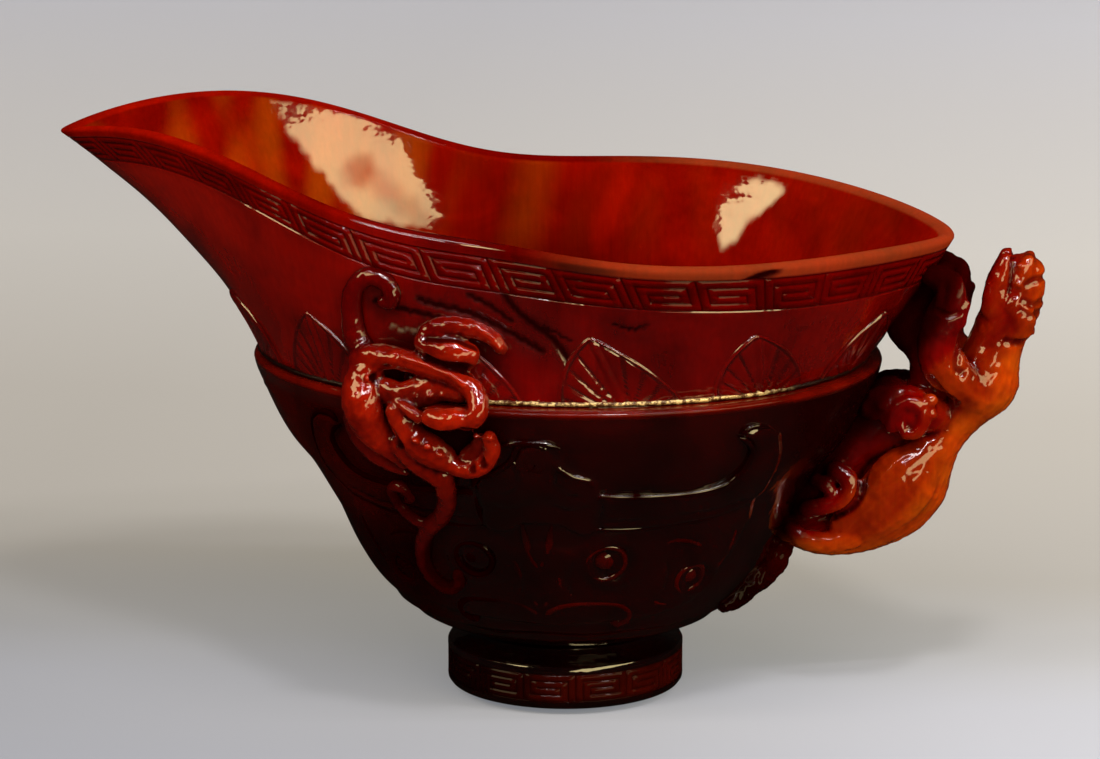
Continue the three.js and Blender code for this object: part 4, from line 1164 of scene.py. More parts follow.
def carved_body(name, limbs, voxel, smoothing):
    """Joins limbs into one carved body: voxels merge them, then the skin is smoothed."""
    piece = plain_object(name, mesh_of(name, *joined(limbs)))
    remesh = piece.modifiers.new("merge", "REMESH")
    remesh.mode, remesh.voxel_size = "VOXEL", voxel * MM
    smooth = piece.modifiers.new("polish", "SMOOTH")
    smooth.factor, smooth.iterations = 0.5, smoothing
    settle(piece, name)
    piece.data.shade_smooth()
    turn_outward(piece.data)
    return piece


def hollow_share(mesh, spread_mm, rounds):
    """How deep each point of a mesh lies under its smoothed skin: 1 in a crevice, -1 on a ridge."""
    places, normals = mesh_places(mesh)
    edges = np.zeros(len(mesh.edges) * 2, int)
    mesh.edges.foreach_get("vertices", edges)
    a, b = edges.reshape(-1, 2).T
    near = np.bincount(a, minlength=len(places)) + np.bincount(b, minlength=len(places))
    smooth = places.copy()
    for _ in range(rounds):
        total = [
            np.bincount(a, smooth[b, i], len(places)) + np.bincount(b, smooth[a, i], len(places)) for i in range(3)]
        smooth = 0.5 * smooth + 0.5 * np.stack(total, -1) / np.maximum(near, 1)[:, None]
    return np.clip(np.einsum("ij,ij->i", smooth - places, normals) / spread_mm, -1, 1)


# Limbs of the side dragon: degrees from the spout, height, stand out of the wall, half width and half thickness
side_limbs = {
    "crest": [
        (61, 63, 1.2, 2.5, 2.0), (59.6, 66, 0.9, 2.2, 1.8), (60.2, 69.4, 0.7, 1.95, 1.6), (61.6, 72.6, 0.6, 1.8, 1.5),
        (64.1, 75.1, 0.6, 1.7, 1.4), (67.2, 76.4, 0.6, 1.65, 1.4), (69.8, 75.9, 0.6, 1.6, 1.4),
        (70.8, 74.2, 0.7, 1.5, 1.4), (70, 72.6, 0.7, 1.35, 1.3), (68.3, 72.4, 0.6, 1.1, 1.2)],
    "band": [
        (60.4, 62.5, 1.9, 2.6, 2.4), (63.6, 63.6, 2.1, 2.4, 2.3), (68.2, 63.9, 2.2, 1.9, 2.0),
        (73, 63.2, 2.3, 1.75, 1.9), (77.4, 62.4, 2.4, 1.8, 1.9), (80.9, 60.9, 2.3, 1.8, 1.9),
        (82.1, 58.8, 2.1, 1.8, 1.8), (81.4, 56.6, 1.9, 1.8, 1.8), (79.4, 55.2, 1.8, 1.8, 1.8)],
    "head": [(74.6, 66.7, 2.0, 1.7, 1.8), (77.2, 66.0, 2.6, 2.4, 2.2), (80, 65.4, 2.9, 2.7, 2.4),
             (82.6, 65.0, 2.3, 2.3, 2.0)],
    "arch": [
        (74.6, 67.0, 1.4, 1.5, 1.5), (76.2, 68.4, 1.5, 1.7, 1.6), (79.2, 69.2, 1.7, 1.8, 1.7),
        (83, 69.4, 1.8, 1.7, 1.6), (86.2, 68.9, 1.7, 1.5, 1.5), (88.6, 67.8, 1.5, 1.3, 1.4),
        (89.4, 66.2, 1.2, 1.1, 1.2)],
    "haunch": [
        (62, 62, 2.0, 2.8, 2.5), (59.9, 59.4, 2.2, 3.3, 2.8), (59.6, 56.4, 2.3, 3.5, 2.9),
        (60.2, 53.2, 2.1, 3.3, 2.8), (61.8, 50.6, 1.9, 2.7, 2.4), (63.4, 48.6, 1.5, 1.9, 1.9),
        (64.8, 46.4, 1.1, 1.1, 1.3)],
    "outer_leg": [
        (56.4, 56.4, 0.6, 1.4, 1.4), (55.4, 53, 0.8, 1.7, 1.6), (55.8, 50, 0.9, 1.8, 1.6),
        (57.8, 47.4, 0.9, 1.6, 1.5), (61, 45.6, 0.8, 1.2, 1.3), (64, 44.5, 0.6, 0.7, 1.0)],
    "belly": [(64, 58.6, 1.0, 2.2, 1.7), (67, 57.8, 0.7, 2.6, 1.5), (71, 58.8, 0.6, 2.6, 1.5),
              (75, 59.6, 0.7, 2.2, 1.5), (78.6, 59.2, 1.0, 1.6, 1.5)],
    "brisket": [(66, 55.6, 1.3, 1.8, 1.7), (67.6, 53, 1.6, 2.3, 2.0), (69.4, 50.8, 1.9, 2.6, 2.2),
                (72, 49.4, 2.0, 2.7, 2.3), (74.2, 48.2, 1.8, 2.2, 2.0)],
    "loin": [(66, 50, 1.6, 2.2, 2.0), (68, 47.6, 1.5, 2.2, 2.0), (70.4, 45.8, 1.4, 2.0, 1.9),
             (72.4, 44, 1.2, 1.7, 1.7)],
    "ball": [(73.4, 55.4, 2.1, 1.9, 1.9), (75.8, 55.3, 2.4, 2.1, 2.1), (78.4, 55.8, 2.2, 1.9, 1.9)],
    "small_arm": [(66.6, 57.2, 1.3, 0.9, 1.0), (69.2, 56.2, 1.8, 1.0, 1.1), (71.2, 55.2, 2.0, 1.1, 1.2)],
    "fist": [
        (74.6, 47.8, 1.9, 1.6, 1.7), (77, 46.9, 2.1, 1.5, 1.7), (79.8, 47, 2.1, 1.6, 1.7),
        (82.2, 48.4, 2.0, 1.5, 1.6), (83.6, 50.6, 1.9, 1.4, 1.5), (83.2, 52.6, 1.7, 1.2, 1.3)],
    "palm": [(78.4, 48.6, 0.8, 1.6, 1.3), (80.4, 50.2, 0.8, 1.6, 1.2), (81.4, 51.8, 0.9, 1.3, 1.2)],
    "tail": [
        (72.6, 45, 1.3, 1.9, 1.7), (72.3, 42.4, 1.2, 1.7, 1.6), (70.9, 39.4, 1.1, 1.6, 1.5),
        (68.2, 36.6, 1.0, 1.55, 1.4), (64.4, 34.4, 0.9, 1.5, 1.3), (61, 31.8, 0.9, 1.4, 1.3),
        (58.8, 28.8, 0.9, 1.35, 1.2), (58.4, 25.9, 0.9, 1.3, 1.2), (60.4, 23.6, 0.9, 1.2, 1.1),
        (64.2, 22.8, 0.9, 1.15, 1.1), (67.4, 24, 0.9, 1.1, 1.05), (68.2, 25.8, 0.9, 1.0, 1.0)],
    "curl": [
        (66.4, 35.4, 0.9, 1.0, 1.1), (62.6, 34.8, 0.9, 1.1, 1.1), (59.2, 36, 0.9, 1.1, 1.1),
        (57.2, 38.2, 0.9, 1.05, 1.05), (58, 40.6, 0.9, 1.05, 1.0), (60.8, 41.4, 0.9, 1.05, 1.0),
        (62.2, 39.9, 0.9, 1.0, 1.0), (61, 38.9, 0.8, 0.8, 0.9)],
}
# Carving on it: how far a line is raised, or cut in where the number is below 0, its half width, and the line in
# degrees, height and stand
side_cuts = [
    (-0.55, 0.35, [(64.2, 61, 4), (68.6, 61.9, 4), (73.2, 61.2, 4), (77.2, 60.4, 4), (79.4, 58.6, 4)]),
    (-0.5, 0.32, [(66.6, 62.4, 4.2), (64.6, 59.8, 4.4), (64.2, 56, 4.4), (65.4, 52.4, 4), (66.8, 50.2, 3.8)]),
    (-0.5, 0.35, [(58, 55.4, 3.6), (57.6, 51.8, 3.4), (59.6, 48.4, 3.2), (62.8, 46, 2.6)]),
    (-0.45, 0.3, [(75.2, 64.6, 3.6), (78, 63.9, 4.2), (81.2, 63.6, 4), (83.2, 62.8, 3)]),
    (-0.4, 0.28, [(76, 67.5, 3.4), (79, 67.7, 4), (82.4, 67.5, 3.6), (85.4, 66.8, 3)]),
    (-0.6, 0.4, [(72.4, 53.8, 3), (74.4, 53.2, 3.6), (77.4, 53.2, 3.6), (80, 53.8, 3)]),
    (-0.4, 0.26, [(80.6, 52, 2.6), (81.4, 49.8, 3.4), (82.2, 48, 3.6)]),
    (-0.35, 0.24, [(78.4, 50.2, 2.4), (79.6, 48.6, 3.4), (80, 47, 3.8)]),
    (0.35, 0.3, [(70.6, 64.6, 4.2), (74.6, 64, 4.4), (78.2, 63, 4.4), (81, 61.2, 4.2)]),
    (0.3, 0.3, [(86.8, 70, 3), (88.4, 68.6, 3), (89.6, 66.6, 2.6)]),
]
# Bosses on it: degrees, height, stand and radius
side_knobs = [
    (67.8, 58.2, 2.1, 0.55), (70.4, 58.5, 2.0, 0.55), (73.1, 58.8, 2.0, 0.6), (75.7, 59, 2.0, 0.5),
    (70.4, 51.6, 4.2, 0.55), (72.6, 50.8, 4.4, 0.6), (74.4, 49.4, 4.0, 0.5), (71.6, 49, 4.4, 0.5),
    (81.6, 67.2, 4.6, 0.5), (84.6, 69.9, 3.6, 0.45), (77.6, 69.9, 3.2, 0.4), (63.2, 60.9, 4.9, 0.5),
    (83.6, 52.9, 3, 0.55), (81, 53, 2.6, 0.5),
]

cup_skins = []
for skin in (lower_bowl, upper_bowl):
    corners = [v.co / MM for v in skin.data.vertices]
    cup_skins.append(BVHTree.FromPolygons(corners, [tuple(p.vertices) for p in skin.data.polygons]))


def off_cup(places):
    """How far each place stands off the cup, in millimetres."""
    return np.array([min(skin.find_nearest(Vector(p))[3] for skin in cup_skins) for p in places])


def wall_limb(rows):
    """A limb on the cup from rows of degrees, height, stand, half width and half thickness."""
    spots, outward = zip(*(wall_place(math.radians(turn), height, out) for turn, height, out, _, _ in rows))
    wide, thick = np.array(rows, float)[:, 3:].T
    return limb_form(np.array(spots), np.array(outward), wide, thick)


def side_dragon(name, side):
    """The dragon on the near side (side 1), or its twin on the far side (side -1)."""
    limbs = [wall_limb(rows) for rows in side_limbs.values()]
    for turn_at, height, out, radius in side_knobs:
        limbs.append(knob(*wall_place(math.radians(turn_at), height, out - 0.25), radius))
    piece = carved_body(name, limbs, 0.3, 3)
    places, normals = mesh_places(piece.data)
    out, cut = np.zeros(len(places)), np.zeros(len(places))
    for depth, half, line in side_cuts:
        chain = np.array([wall_place(math.radians(a), h, o)[0] for a, h, o in spline(line, 4)])
        away = from_line(places, chain)
        spread = ease(1.6 - away / (half * 2.4)) if depth < 0 else ease(1.4 - away / (half * 1.8))
        out += depth * spread
        if depth < 0:
            cut = np.maximum(cut, 0.85 * spread)
    places += normals * (out + 0.07 * lumps(places, 2.3) + 0.03 * lumps(places[:, ::-1], 1.3))[:, None]
    if side < 0:
        places[:, 1] *= -1
        piece.data.flip_normals()
    set_places(piece.data, places)
    hollow = np.clip(0.6 * hollow_share(piece.data, 0.35, 16) + 0.6 * hollow_share(piece.data, 0.9, 70), -1, 1)
    # Painted shade lies in the cuts and hollows and where the carving meets the cup, and the carving is darker below
    # 34 mm
    reach = 2.3 + 2.0 * ease((places[:, 2] - 44) / 4) * ease((68 - places[:, 2]) / 3)
    low_down = 0.85 * ease((reach - off_cup(places)) / (reach - 0.3)) + 0.4 * ease((34 - places[:, 2]) / 5)
    broad = hollow_share(piece.data, 1.8, 260)
    shade_and_soot = np.maximum.reduce([cut, hollow * 2.0 - 0.1, low_down, broad * 1.5])
    mark(piece.data, "recess", shade_and_soot)
    # The rounded upper forms are clearer and the tail darker; painted shade darkens whatever lies against the wall,
    # and the hollows
    level = ease((places[:, 2] - 40) / 14)
    wall_y = np.interp(places[:, 2], [22, 40, 57, 65, 78], [30, 35, 40, 40, 42])
    clear = (0.2 + 0.24 * level + 0.1 * lumps(places, 9)) * ease((np.abs(places[:, 1]) - wall_y + 3) / 8)
    clear *= 1 - 0.85 * ease((places[:, 2] - 64) / 4) * ease((-12 - places[:, 0]) / 4)
    mark(piece.data, "thin", clear * (1 - 1.5 * hollow) - 0.15 * np.clip(hollow, 0, 1))
    mark(piece.data, "film", np.maximum(0.43, shade_and_soot * 1.2))
    piece.data.materials.append(clear_horn)
    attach(piece, "root")
    return piece


clear_horn = polished_horn("clear_red_polished_horn", "#3c0000", "#6a0100", "#9c1a02", 7, gloss=0.05, marks=1.1)
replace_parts(side_dragon("side_dragon_front_carved", 1), "side_dragon_front")
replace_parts(side_dragon("side_dragon_back_carved", -1), "side_dragon_back")

# Handle
# A dragon that climbs to the lip and looks away from the cup, in clear amber horn: a split crest, a square jaw, a
# full chest, a spiral shoulder, a fat curled haunch. Its paws hold the lip and the wall.

# Limbs of the handle: X, Y, Z, half width across Y and half thickness in the plane of the handle
handle_middle = {
    "spine": [
        (37.6, 0, 27.6, 3.6, 2.6), (41, 0, 27, 4.6, 3.4), (45, 0, 27, 5.4, 3.9), (50, 0, 28.8, 6.2, 4.9),
        (54.6, 0, 32.6, 6.8, 6.6), (57.8, 0, 37.4, 6.9, 6.9), (61, 0, 41.8, 5.6, 4.8), (64, 0, 45.2, 4.6, 3.4),
        (66.4, 0, 48.6, 4.8, 4.0), (69.2, 0, 53.2, 5.8, 5.9), (70.4, 0, 57.6, 5.2, 5.0)],
    "neck": [(70.4, 0, 57, 4.9, 4.9), (71.8, 0, 61.5, 4.5, 4.5), (73.2, 0, 65, 4.2, 4.7)],
    "skull": [(73, 0, 64, 4.1, 4.6), (74.3, 0, 68, 4.0, 4.5), (75.2, 0, 71.2, 3.5, 3.6), (75.6, 0, 72.6, 2.8, 2.8)],
    "crown": [(73.7, 0, 69.6, 3.5, 2.4), (74.0, 0, 72.4, 3.2, 2.1), (74.1, 0, 74.1, 2.2, 1.0)],
    "muzzle": [(76.2, 0, 66.4, 3.3, 2.6), (77.1, 0, 69.4, 2.9, 2.1), (77.5, 0, 72.6, 2.4, 1.6)],
    "jaw": [(73.4, 0, 63.8, 3.9, 3.2), (75.2, 0, 63, 3.6, 2.6), (76, 0, 62.4, 3.0, 1.7)],
    "strap": [
        (62.2, 0, 71.4, 3.5, 2.2), (59.8, 0, 67, 3.6, 3.2), (57.2, 0, 63.4, 3.6, 4.3), (59.4, 0, 58.6, 3.6, 2.9),
        (60.4, 0, 55, 4.0, 3.2), (60.4, 0, 51.5, 4.2, 4.0)],
    "web": [(54, 0, 50.4, 3.8, 3.6), (50, 0, 46, 3.8, 4.6), (46.6, 0, 41, 3.8, 5.0), (43.6, 0, 36.4, 3.8, 4.4),
            (41, 0, 32.4, 3.6, 3.6)],
    "groin": [(62, 0, 47.6, 3.8, 2.8), (58.6, 0, 46.2, 3.8, 3.0), (54, 0, 44.4, 3.8, 3.2), (50, 0, 42.4, 3.6, 3.0)],
}
# Limbs that it has twice, with Y on the far side as well
handle_pairs = {
    "crest": [(71.6, 2.2, 66, 2.0, 2.9), (71.7, 2.4, 69.5, 1.9, 2.5), (72.3, 2.3, 72.4, 1.7, 1.9),
              (72.8, 2.2, 74.5, 1.3, 1.3)],
    "brow": [(75.4, 2.2, 70.4, 1.7, 2.0), (75.9, 2.1, 73, 1.5, 1.6), (76.4, 1.8, 74.4, 1.1, 1.1)],
    "cheek": [(74.2, 3.0, 67.4, 1.6, 2.4), (75.6, 3.0, 65, 1.5, 2.4), (75.4, 2.8, 62.8, 1.3, 2.0)],
    "foreleg": [
        (68.6, 3.6, 51.6, 2.6, 3.0), (66.2, 4.8, 54.2, 2.9, 3.4), (63.4, 5.8, 57.2, 3.0, 3.9),
        (62.4, 6.2, 60.6, 2.9, 3.7), (63, 6.4, 64.4, 2.7, 3.5), (64.2, 6.3, 68.2, 2.4, 2.9),
        (64.4, 6, 71.2, 1.9, 1.9)],
    "palm": [(64, 5.9, 69.6, 1.8, 2.0), (62.5, 5.85, 71.8, 1.9, 2.3), (60.6, 5.8, 72.4, 1.6, 1.8)],
    "thumb": [(65.6, 7.2, 64.6, 1.0, 1.1), (66.3, 7.4, 66.6, 0.9, 0.9), (67.1, 7.2, 68.2, 0.5, 0.5)],
    "first_finger": [(65.4, 7.3, 67, 0.9, 1.0), (65.9, 7.3, 69.6, 0.8, 0.85), (65.7, 6.9, 71.8, 0.5, 0.55)],
    "middle_finger": [(63.9, 8.1, 67, 0.9, 1.0), (64.3, 8.1, 69.6, 0.8, 0.85), (64.3, 7.5, 72, 0.5, 0.55)],
    "last_finger": [(62.4, 8.2, 66.6, 0.8, 0.9), (62.5, 8.1, 69, 0.75, 0.8), (62.6, 7.6, 71, 0.5, 0.5)],
    "chest_edge": [(65.8, 7.0, 56.6, 1.0, 1.0), (66.6, 6.6, 54.4, 1.3, 1.3), (68.2, 6.0, 52.4, 1.2, 1.2),
                   (70, 5.0, 51.4, 0.8, 0.8)],
    "shoulder": [
        (61.6, 3.8, 48.6, 2.6, 3.0), (58.8, 5, 49.2, 2.9, 4.2), (55.6, 5.4, 49.8, 2.8, 4.2),
        (52.8, 5.6, 50.2, 2.2, 3.4), (51.2, 5.8, 49.6, 1.7, 2.0)],
    "scroll": [
        (54.9, 7.3, 46.9, 0.9, 1.0), (55.1, 7.7, 49.3, 1.0, 1.1), (56.6, 7.8, 51.1, 1.0, 1.15),
        (58.6, 7.8, 51.4, 1.0, 1.15), (60, 7.5, 50, 1.0, 1.1), (60.1, 7.4, 47.9, 1.0, 1.1),
        (58.9, 7.5, 46.2, 1.0, 1.0), (57.2, 7.6, 46.1, 0.9, 0.9), (56.6, 7.7, 47.4, 0.8, 0.8)],
    "scroll_core": [(56.8, 5.6, 47.2, 2.2, 2.4), (57.8, 5.8, 48.8, 2.2, 2.6), (58.8, 5.6, 47.6, 2.0, 2.2)],
    "thigh": [
        (60.6, 3.4, 42.4, 2.6, 3.0), (57.8, 4.5, 38.6, 3.2, 5.4), (54.8, 4.9, 34.8, 3.3, 5.6),
        (51.2, 4.8, 31.2, 2.8, 4.4), (47, 4.4, 28.8, 2.2, 3.0)],
    "hind_paw": [
        (45.6, 5.6, 39.2, 1.5, 1.6), (47.6, 5.9, 38, 1.7, 1.7), (48.3, 6.2, 35.8, 1.8, 1.7),
        (46.8, 6.2, 33.8, 1.8, 1.7), (44, 5.9, 32.8, 1.8, 1.7), (41, 5.4, 32.2, 1.5, 1.5)],
    "hind_toe": [(42.6, 5.4, 37.2, 1.2, 1.2), (44, 5.8, 36.6, 1.5, 1.4), (45, 6.2, 35.6, 1.3, 1.2)],
    "heel": [(48.6, 5.2, 27.6, 1.9, 2.0), (44.4, 5.4, 26.6, 1.9, 1.9), (40.4, 5, 27, 1.7, 1.7),
             (38.4, 4.6, 28.4, 1.3, 1.4)],
}
handle_cuts = [
    # depth, half width, line in X, Y, Z on the near side
    (-0.45, 0.4, [(51.2, 8.6, 41), (50.3, 8.4, 38.4), (50, 8.4, 35.5), (48.4, 8.4, 33), (45.2, 8, 31.2),
                  (41.4, 7.6, 30)]),
    (-0.5, 0.35, [(61.2, 7.6, 55.6), (63.4, 7.8, 52.8), (65.4, 7.4, 51.2)]),
    (-0.4, 0.35, [(66.4, 7.2, 63.4), (65.7, 8.2, 60.4), (65.4, 8, 57.8), (66.2, 7.8, 56.8)]),
    (-0.35, 0.2, [(73.9, 3.6, 75.6), (73.8, 4.2, 72.6), (73.4, 4.6, 69.6)]),
    (-0.4, 0.35, [(78.8, 2.2, 71.5), (77.2, 3.4, 71.3), (76.4, 3.8, 70.8)]),
    (-0.22, 0.3, [(78.8, 2.4, 67.8), (77.4, 3.4, 67.4), (75.8, 4, 68.2)]),
    (-0.22, 0.3, [(78.4, 2.6, 66), (77, 3.6, 65.8), (75.6, 4.2, 66.6)]),
    (-0.5, 0.35, [(77.2, 3, 61.2), (75.4, 3.8, 60.9), (73.2, 4.4, 61.4)]),
    (-0.4, 0.28, [(62.2, 9, 67.2), (63.8, 9, 66.4), (65.4, 8.6, 66.8)]),
]
handle_knobs = [
    # X, Y, Z, radius
    (53.4, 7.2, 50.9, 1.7), (61.2, 7.2, 51.7, 1.2), (61.4, 7.2, 49.3, 0.9), (75.2, 3.7, 73.8, 0.6),
    (75, 4.1, 70.8, 0.7), (76.6, 3.8, 66, 0.6),
]
amber_horn = polished_horn("amber_polished_horn", "#500000", "#840200", "#bc4203", 8, gloss=0.05, marks=0.9)


def handle_limb(rows, side=1, sides=14):
    """A limb of the handle, on the near side of its middle plane (side -1) or on the far side (side 1)."""
    rows = np.array(rows, float) * [1, side, 1, 1, 1]
    return limb_form(rows[:, :3], np.tile([0.0, 1.0, 0.0], (len(rows), 1)), rows[:, 4], rows[:, 3], sides=sides)


limbs = [handle_limb(rows, sides=18) for rows in handle_middle.values()]
limbs += [handle_limb(rows, side) for rows in handle_pairs.values() for side in (1, -1)]
limbs += [
    knob(np.array([x, side * (y - 0.45), z]), [0.0, 1.0, 0.0], radius) for x, y, z, radius in handle_knobs
    for side in (1, -1)]
handle = carved_body("handle_dragon_carved", limbs, 0.33, 7)
places, normals = mesh_places(handle.data)
folded = places * [1, 0, 1] + np.abs(places) * [0, 1, 0]
out, cut = np.zeros(len(places)), np.zeros(len(places))
for depth, half, line in handle_cuts:
    away = from_line(folded, spline(line, 5))
    seen_away = from_line(folded * [1, 0, 1], spline(line, 5) * [1, 0, 1])
    spread = ease(1.4 - seen_away / (half * 1.9)) * ease(3.4 - away)
    out += depth * spread
    cut = np.maximum(cut, 0.4 * spread)
places += normals * (out + 0.09 * lumps(places, 2.7) + 0.04 * lumps(places[:, ::-1], 1.5))[:, None]
set_places(handle.data, places)
hollow = np.clip(0.6 * hollow_share(handle.data, 0.45, 20) + 0.6 * hollow_share(handle.data, 1.2, 90), -1, 1)
# Clear along the outer edge, darker at the waist and above the neck; painted shade darkens it towards the cup and in
# the creases
outer_edge = spline([(38, 0, 23.6), (47, 0, 22.8), (55, 0, 25), (61, 0, 31), (65, 0, 38), (68, 0, 46), (74, 0, 50),
                     (76, 0, 57), (79.5, 0, 65), (80, 0, 74)], 4)
at_edge = ease(1 - (from_line(places * [1, 0, 1], outer_edge) - 0.3) / 5.5)
wall_side = np.interp(places[:, 2], [23, 36, 50, 58, 66, 76], [38, 46, 56, 60, 66, 70])
off_wall = ease((places[:, 0] - wall_side + 2) / 8)
at_waist = np.exp(-((places[:, 2] - 48) / 4) ** 2)
clear = (0.62 * at_edge + 0.32 * off_wall - 0.2 * at_waist) * (1 + 0.3 * lumps(places, 11))
# Darker above 57 mm, partly painted shade at the neck
clear *= 1 - 0.5 * ease((places[:, 2] - 57) / 5)
mark(handle.data, "thin", clear * (1 - 1.2 * hollow) - 0.1)
honey_share = 0.28 * ease(1.2 * at_edge) * ease(0.45 + 0.9 * lumps(places[:, ::-1] * [1, 1, 0.5], 8))
mark(handle.data, "honey", honey_share * ease((62 - places[:, 2]) / 6) * (1 - hollow))
# Painted shade in the cuts and creases, towards the cup, and on the far paw, which stands in shade
shade_by_wall = ease((wall_side - places[:, 0] + 2) / 6)
far_paw_shade = 0.8 * ease((places[:, 1] - 1) / 2) * ease((places[:, 2] - 62) / 4) * ease((70 - places[:, 0]) / 2)
shade_and_soot = np.maximum.reduce([cut, hollow * 1.5 - 0.15, shade_by_wall, far_paw_shade, 1.1 * hollow_share(handle.data, 2.4, 260)])
mark(handle.data, "recess", shade_and_soot)
mark(handle.data, "film", np.maximum(0.45, shade_and_soot * 1.2))
handle.data.materials.append(amber_horn)
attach(handle, "root")
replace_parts(handle, "handle_dragon")

# Tail under the handle
# The handle dragon's tail, a dark piece that lies on the lower bowl and forks, with a scalloped back.

# Degrees from the spout, height, stand out of the wall, half width and half thickness
tail_limbs = [
    [(180, 24.2, 1.2, 2.4, 2.3), (180, 21.8, 1.4, 2.8, 2.6), (180, 19.2, 1.3, 2.7, 2.5), (180, 17, 1.0, 2.2, 2.0)],
    [(179, 20, 1.0, 2.2, 2.2), (174, 17.6, 1.0, 2.1, 2.0), (169, 16.0, 0.9, 1.8, 1.7), (165, 15.4, 0.8, 1.2, 1.3)],
    [(181, 20, 1.0, 2.2, 2.2), (186, 17.6, 1.0, 2.1, 2.0), (191, 16.0, 0.9, 1.8, 1.7), (195, 15.4, 0.8, 1.2, 1.3)],
]
# Degrees, height, stand and radius
tail_knobs = [(180, 23.2, 3.2, 1.0), (180, 20.8, 3.6, 1.1), (180, 18.4, 3.3, 1.0), (180, 16.2, 2.6, 0.8)]
limbs = [wall_limb(rows) for rows in tail_limbs]
for turn_at, height, out_at, radius in tail_knobs:
    spot, outward = wall_place(math.radians(turn_at), height, out_at - 0.4)
    limbs.append(knob(spot, outward, radius, sides=12, step=(0, 0.8, 0)))
tail = carved_body("handle_tail_carved", limbs, 0.3, 3)
places, normals = mesh_places(tail.data)
places += normals * (0.22 * lumps(places, 2.4) + 0.08 * lumps(places[:, ::-1], 1.3))[:, None]
set_places(tail.data, places)
mark(tail.data, "thin", 0.25 * ease((places[:, 0] - 30) / 10))
# Painted shade in the tail's hollows
mark(tail.data, "recess", 1.4 * hollow_share(tail.data, 0.5, 30))
mark(tail.data, "film", 0.95)
tail.data.materials.append(bowl_horn)
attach(tail, "root")
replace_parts(tail, "handle_tail")

# Pegs
# Three hidden pegs of amber horn hold the handle: they keep their built shape and take the handle's finish.

for name in ("hip_peg", "paw_peg_front", "paw_peg_back"):
    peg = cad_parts[name]
    peg.data.materials.clear()
    peg.data.materials.append(amber_horn)

# Table and backdrop
# A sweep of paper, cool pale grey in front of the cup and plain grey behind it. Its tone is painted paler far back
# and to the right and darker to the left in front of the cup: painted light and shade. Polished faces see it as dark
# as a room beyond the lamps.


def tone_ramp(tree, share, tones):
    """The colour between tones that stand at shares of the way."""
    ramp = add_node(tree, "ShaderNodeValToRGB", {"Fac": share})
    stops = ramp.color_ramp.elements
    for stop, (at, code) in zip(stops, (tones[0], tones[-1])):
        stop.position, stop.color = at, colour(code)
    for at, code in tones[1:-1]:
        stops.new(at).color = colour(code)
    return ramp.outputs["Color"]


def paper():
    """Matt paper: its tone, painted with light and shade, and a faint glow of its own change from front to back and
    from side to side.
    """
    material, tree = new_material("matt_pale_paper")
    place = add_node(tree, "ShaderNodeTexCoord", out="Object")
    level = add_node(tree, "ShaderNodeSeparateXYZ", {"Vector": place}).outputs
    share = add_node(tree, "ShaderNodeMapRange", {
        "Value": level["Y"], "From Min": -0.05, "From Max": 0.7,
    }, out="Result")
    tone = tone_ramp(tree, share, [
        (0.0, "#999dab"), (0.08, "#a2a5b0"), (0.16, "#a09f9f"), (0.33, "#a5a4a5"), (0.54, "#bcbcbf"),
        (0.8, "#cccdd3"), (1.0, "#d8dbe5")])
    # Painted shade: darker to the left, most in front of the cup
    side_near, side_far = (add_node(tree, "ShaderNodeMapRange", {
        "Value": level["X"], "From Min": -0.12, "From Max": 0.12, "To Min": low, "To Max": high,
    }, out="Result") for low, high in ((0.57, 1.06), (0.78, 0.95)))
    back = add_node(tree, "ShaderNodeMapRange", {
        "Value": level["Y"], "From Min": 0.02, "From Max": 0.1,
    }, out="Result")
    side = add_node(tree, "ShaderNodeMix", {0: back, 2: side_near, 3: side_far}, data_type="FLOAT", out=0)
    tone = add_node(tree, "ShaderNodeMix", {
        "Factor": 1.0, "A": tone, "B": side,
    }, data_type="RGBA", blend_type="MULTIPLY", out="Result")
    rays = add_node(tree, "ShaderNodeLightPath").outputs
    tone = add_node(tree, "ShaderNodeMix", {
        "Factor": rays["Is Glossy Ray"], "A": tone, "B": colour("#1c1918"),
    }, data_type="RGBA", out="Result")
    # The paper's own pale glow, for the eye alone, thins the shadows on it
    glow = tone_ramp(tree, share, [
        (0.0, "#8c9099"), (0.06, "#8b8e95"), (0.1, "#868685"), (0.165, "#848079"), (0.33, "#908c85"),
        (0.54, "#9a9792"), (1.0, "#8e8d92")])
    by_foot = add_node(tree, "ShaderNodeVectorMath", {
        0: place, 1: (-0.01, -0.04, 0),
    }, operation="DISTANCE", out="Value")
    by_foot = add_node(tree, "ShaderNodeMapRange", {
        "Value": by_foot, "From Min": 0.015, "From Max": 0.085, "To Min": 0.8,
    }, out="Result")
    pale = add_node(tree, "ShaderNodeMath", {0: rays["Is Camera Ray"], 1: side}, operation="MULTIPLY", out="Value")
    pale = add_node(tree, "ShaderNodeMath", {0: pale, 1: by_foot}, operation="MULTIPLY", out="Value")
    own = add_node(tree, "ShaderNodeEmission", {"Color": glow, "Strength": pale}, out="Emission")
    lit = add_node(tree, "ShaderNodeBsdfDiffuse", {"Color": tone}, out="BSDF")
    both = add_node(tree, "ShaderNodeAddShader", {0: lit, 1: own}, out="Shader")
    add_node(tree, "ShaderNodeOutputMaterial", {"Surface": both})
    return material


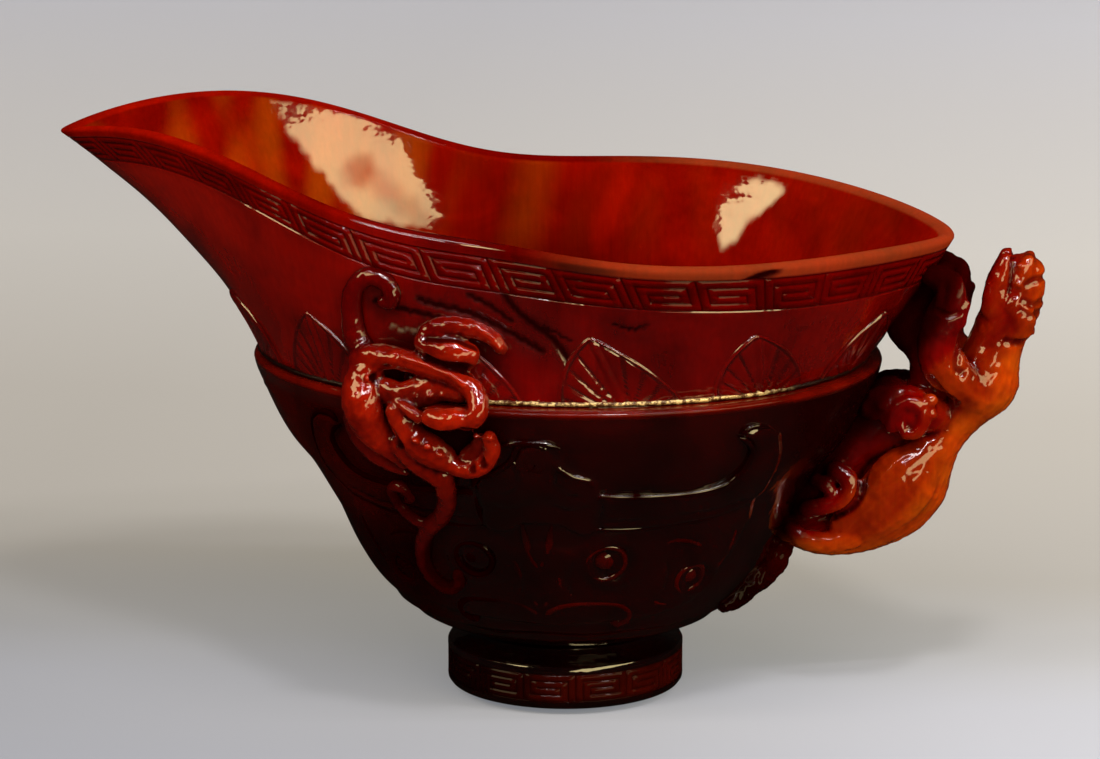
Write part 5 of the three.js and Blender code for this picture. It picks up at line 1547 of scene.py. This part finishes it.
# Its line in Y and Z, in metres
sweep_rows = spline([(-1.2, 0), (0.9, 0), (1.1, 0.015), (1.25, 0.08), (1.35, 0.2), (1.4, 0.4), (1.42, 1.4)], 6)
sweep_mesh = bpy.data.meshes.new("table_and_backdrop")
sweep_mesh.from_pydata(
    [(x, y, z) for y, z in sweep_rows for x in (-1.6, 1.6)], [],
    [(2 * i, 2 * i + 1, 2 * i + 3, 2 * i + 2) for i in range(len(sweep_rows) - 1)])
sweep_mesh.shade_smooth()
sweep_mesh.materials.append(paper())
sweep = plain_object("table_and_backdrop", sweep_mesh)

# Light
# Two warm windows in front, left and right, whose mirror images are the pale patches inside the mouth, and two
# white tubes and a small lamp overhead that glint along the lip and on the carving; the room fills the shadows.


def lamp(name, bearing, height, distance, size, power, tint, roll=0):
    """A soft lamp at a bearing round from the camera's side and a height, that faces the cup and is rolled so that
    its right end stands higher, all in degrees."""
    across, up = math.radians(bearing), math.radians(height)
    middle = Vector((0, 0, 0.06))
    away = Vector((math.sin(across) * math.cos(up), -math.cos(across) * math.cos(up), math.sin(up)))
    light = bpy.data.lights.new(name, "AREA")
    light.shape = "RECTANGLE"
    light.size, light.size_y = size
    light.energy = power
    light.color = colour(tint)[:3]
    holder = bpy.data.objects.new(name, light)
    bpy.context.scene.collection.objects.link(holder)
    holder.location = middle + away * distance
    facing = (-away).to_track_quat("-Z", "Y") @ Quaternion((0, 0, 1), math.radians(roll))
    holder.rotation_euler = facing.to_euler()


lamp("right_window", 46, 18, 1.0, (1.44, 0.34), 8.4, "#ffe9a8", roll=28)
lamp("left_window", -52, 31.5, 1.0, (0.7, 0.25), 4.0, "#ffe6a8")
lamp("tube_near", 22, 47, 1.0, (1.1, 0.03), 3.2, "#fff4f0")
lamp("small_lamp", 22, 56, 1.0, (0.12, 0.12), 3.2, "#fffaf2")
lamp("tube_far", 8, 64, 1.1, (1.4, 0.045), 3.4, "#fff6f6")
world = bpy.data.worlds.new("room")
bpy.context.scene.world = world
world.use_nodes = True
room = world.node_tree
room.nodes.clear()
seen_in_gloss = add_node(room, "ShaderNodeLightPath", out="Is Glossy Ray")
level = add_node(room, "ShaderNodeMapRange", {"Value": seen_in_gloss, "To Min": 0.25, "To Max": 0.008}, out="Result")
sky = add_node(room, "ShaderNodeBackground", {"Color": colour("#dfe3ea"), "Strength": level}, out="Background")
add_node(room, "ShaderNodeOutputWorld", {"Surface": sky})

# Camera
# A long lens from 0.8 m away, 13.5 degrees above the table and 8 degrees round towards the handle.

turn_by, tilt, distance = math.radians(8), math.radians(13.5), 0.8
# Focal length and width of the picture, in pixels
focal_pixels, picture_pixels = 4800, 1100
back = Vector((math.sin(turn_by) * math.cos(tilt), -math.cos(turn_by) * math.cos(tilt), math.sin(tilt)))
right = Vector((math.cos(turn_by), math.sin(turn_by), 0))
aim = right * (-2.59 * MM) + Vector((0, 0, 51.54 * MM))
lens = bpy.data.cameras.new("camera")
lens.sensor_width = 36.0
lens.lens = lens.sensor_width * focal_pixels / picture_pixels
lens.clip_start = 0.01
camera = bpy.data.objects.new("camera", lens)
bpy.context.scene.collection.objects.link(camera)
camera.location = aim + back * distance
camera.rotation_euler = (-back).to_track_quat("-Z", "Y").to_euler()
bpy.context.scene.camera = camera
bpy.context.scene.view_settings.view_transform = "Standard"
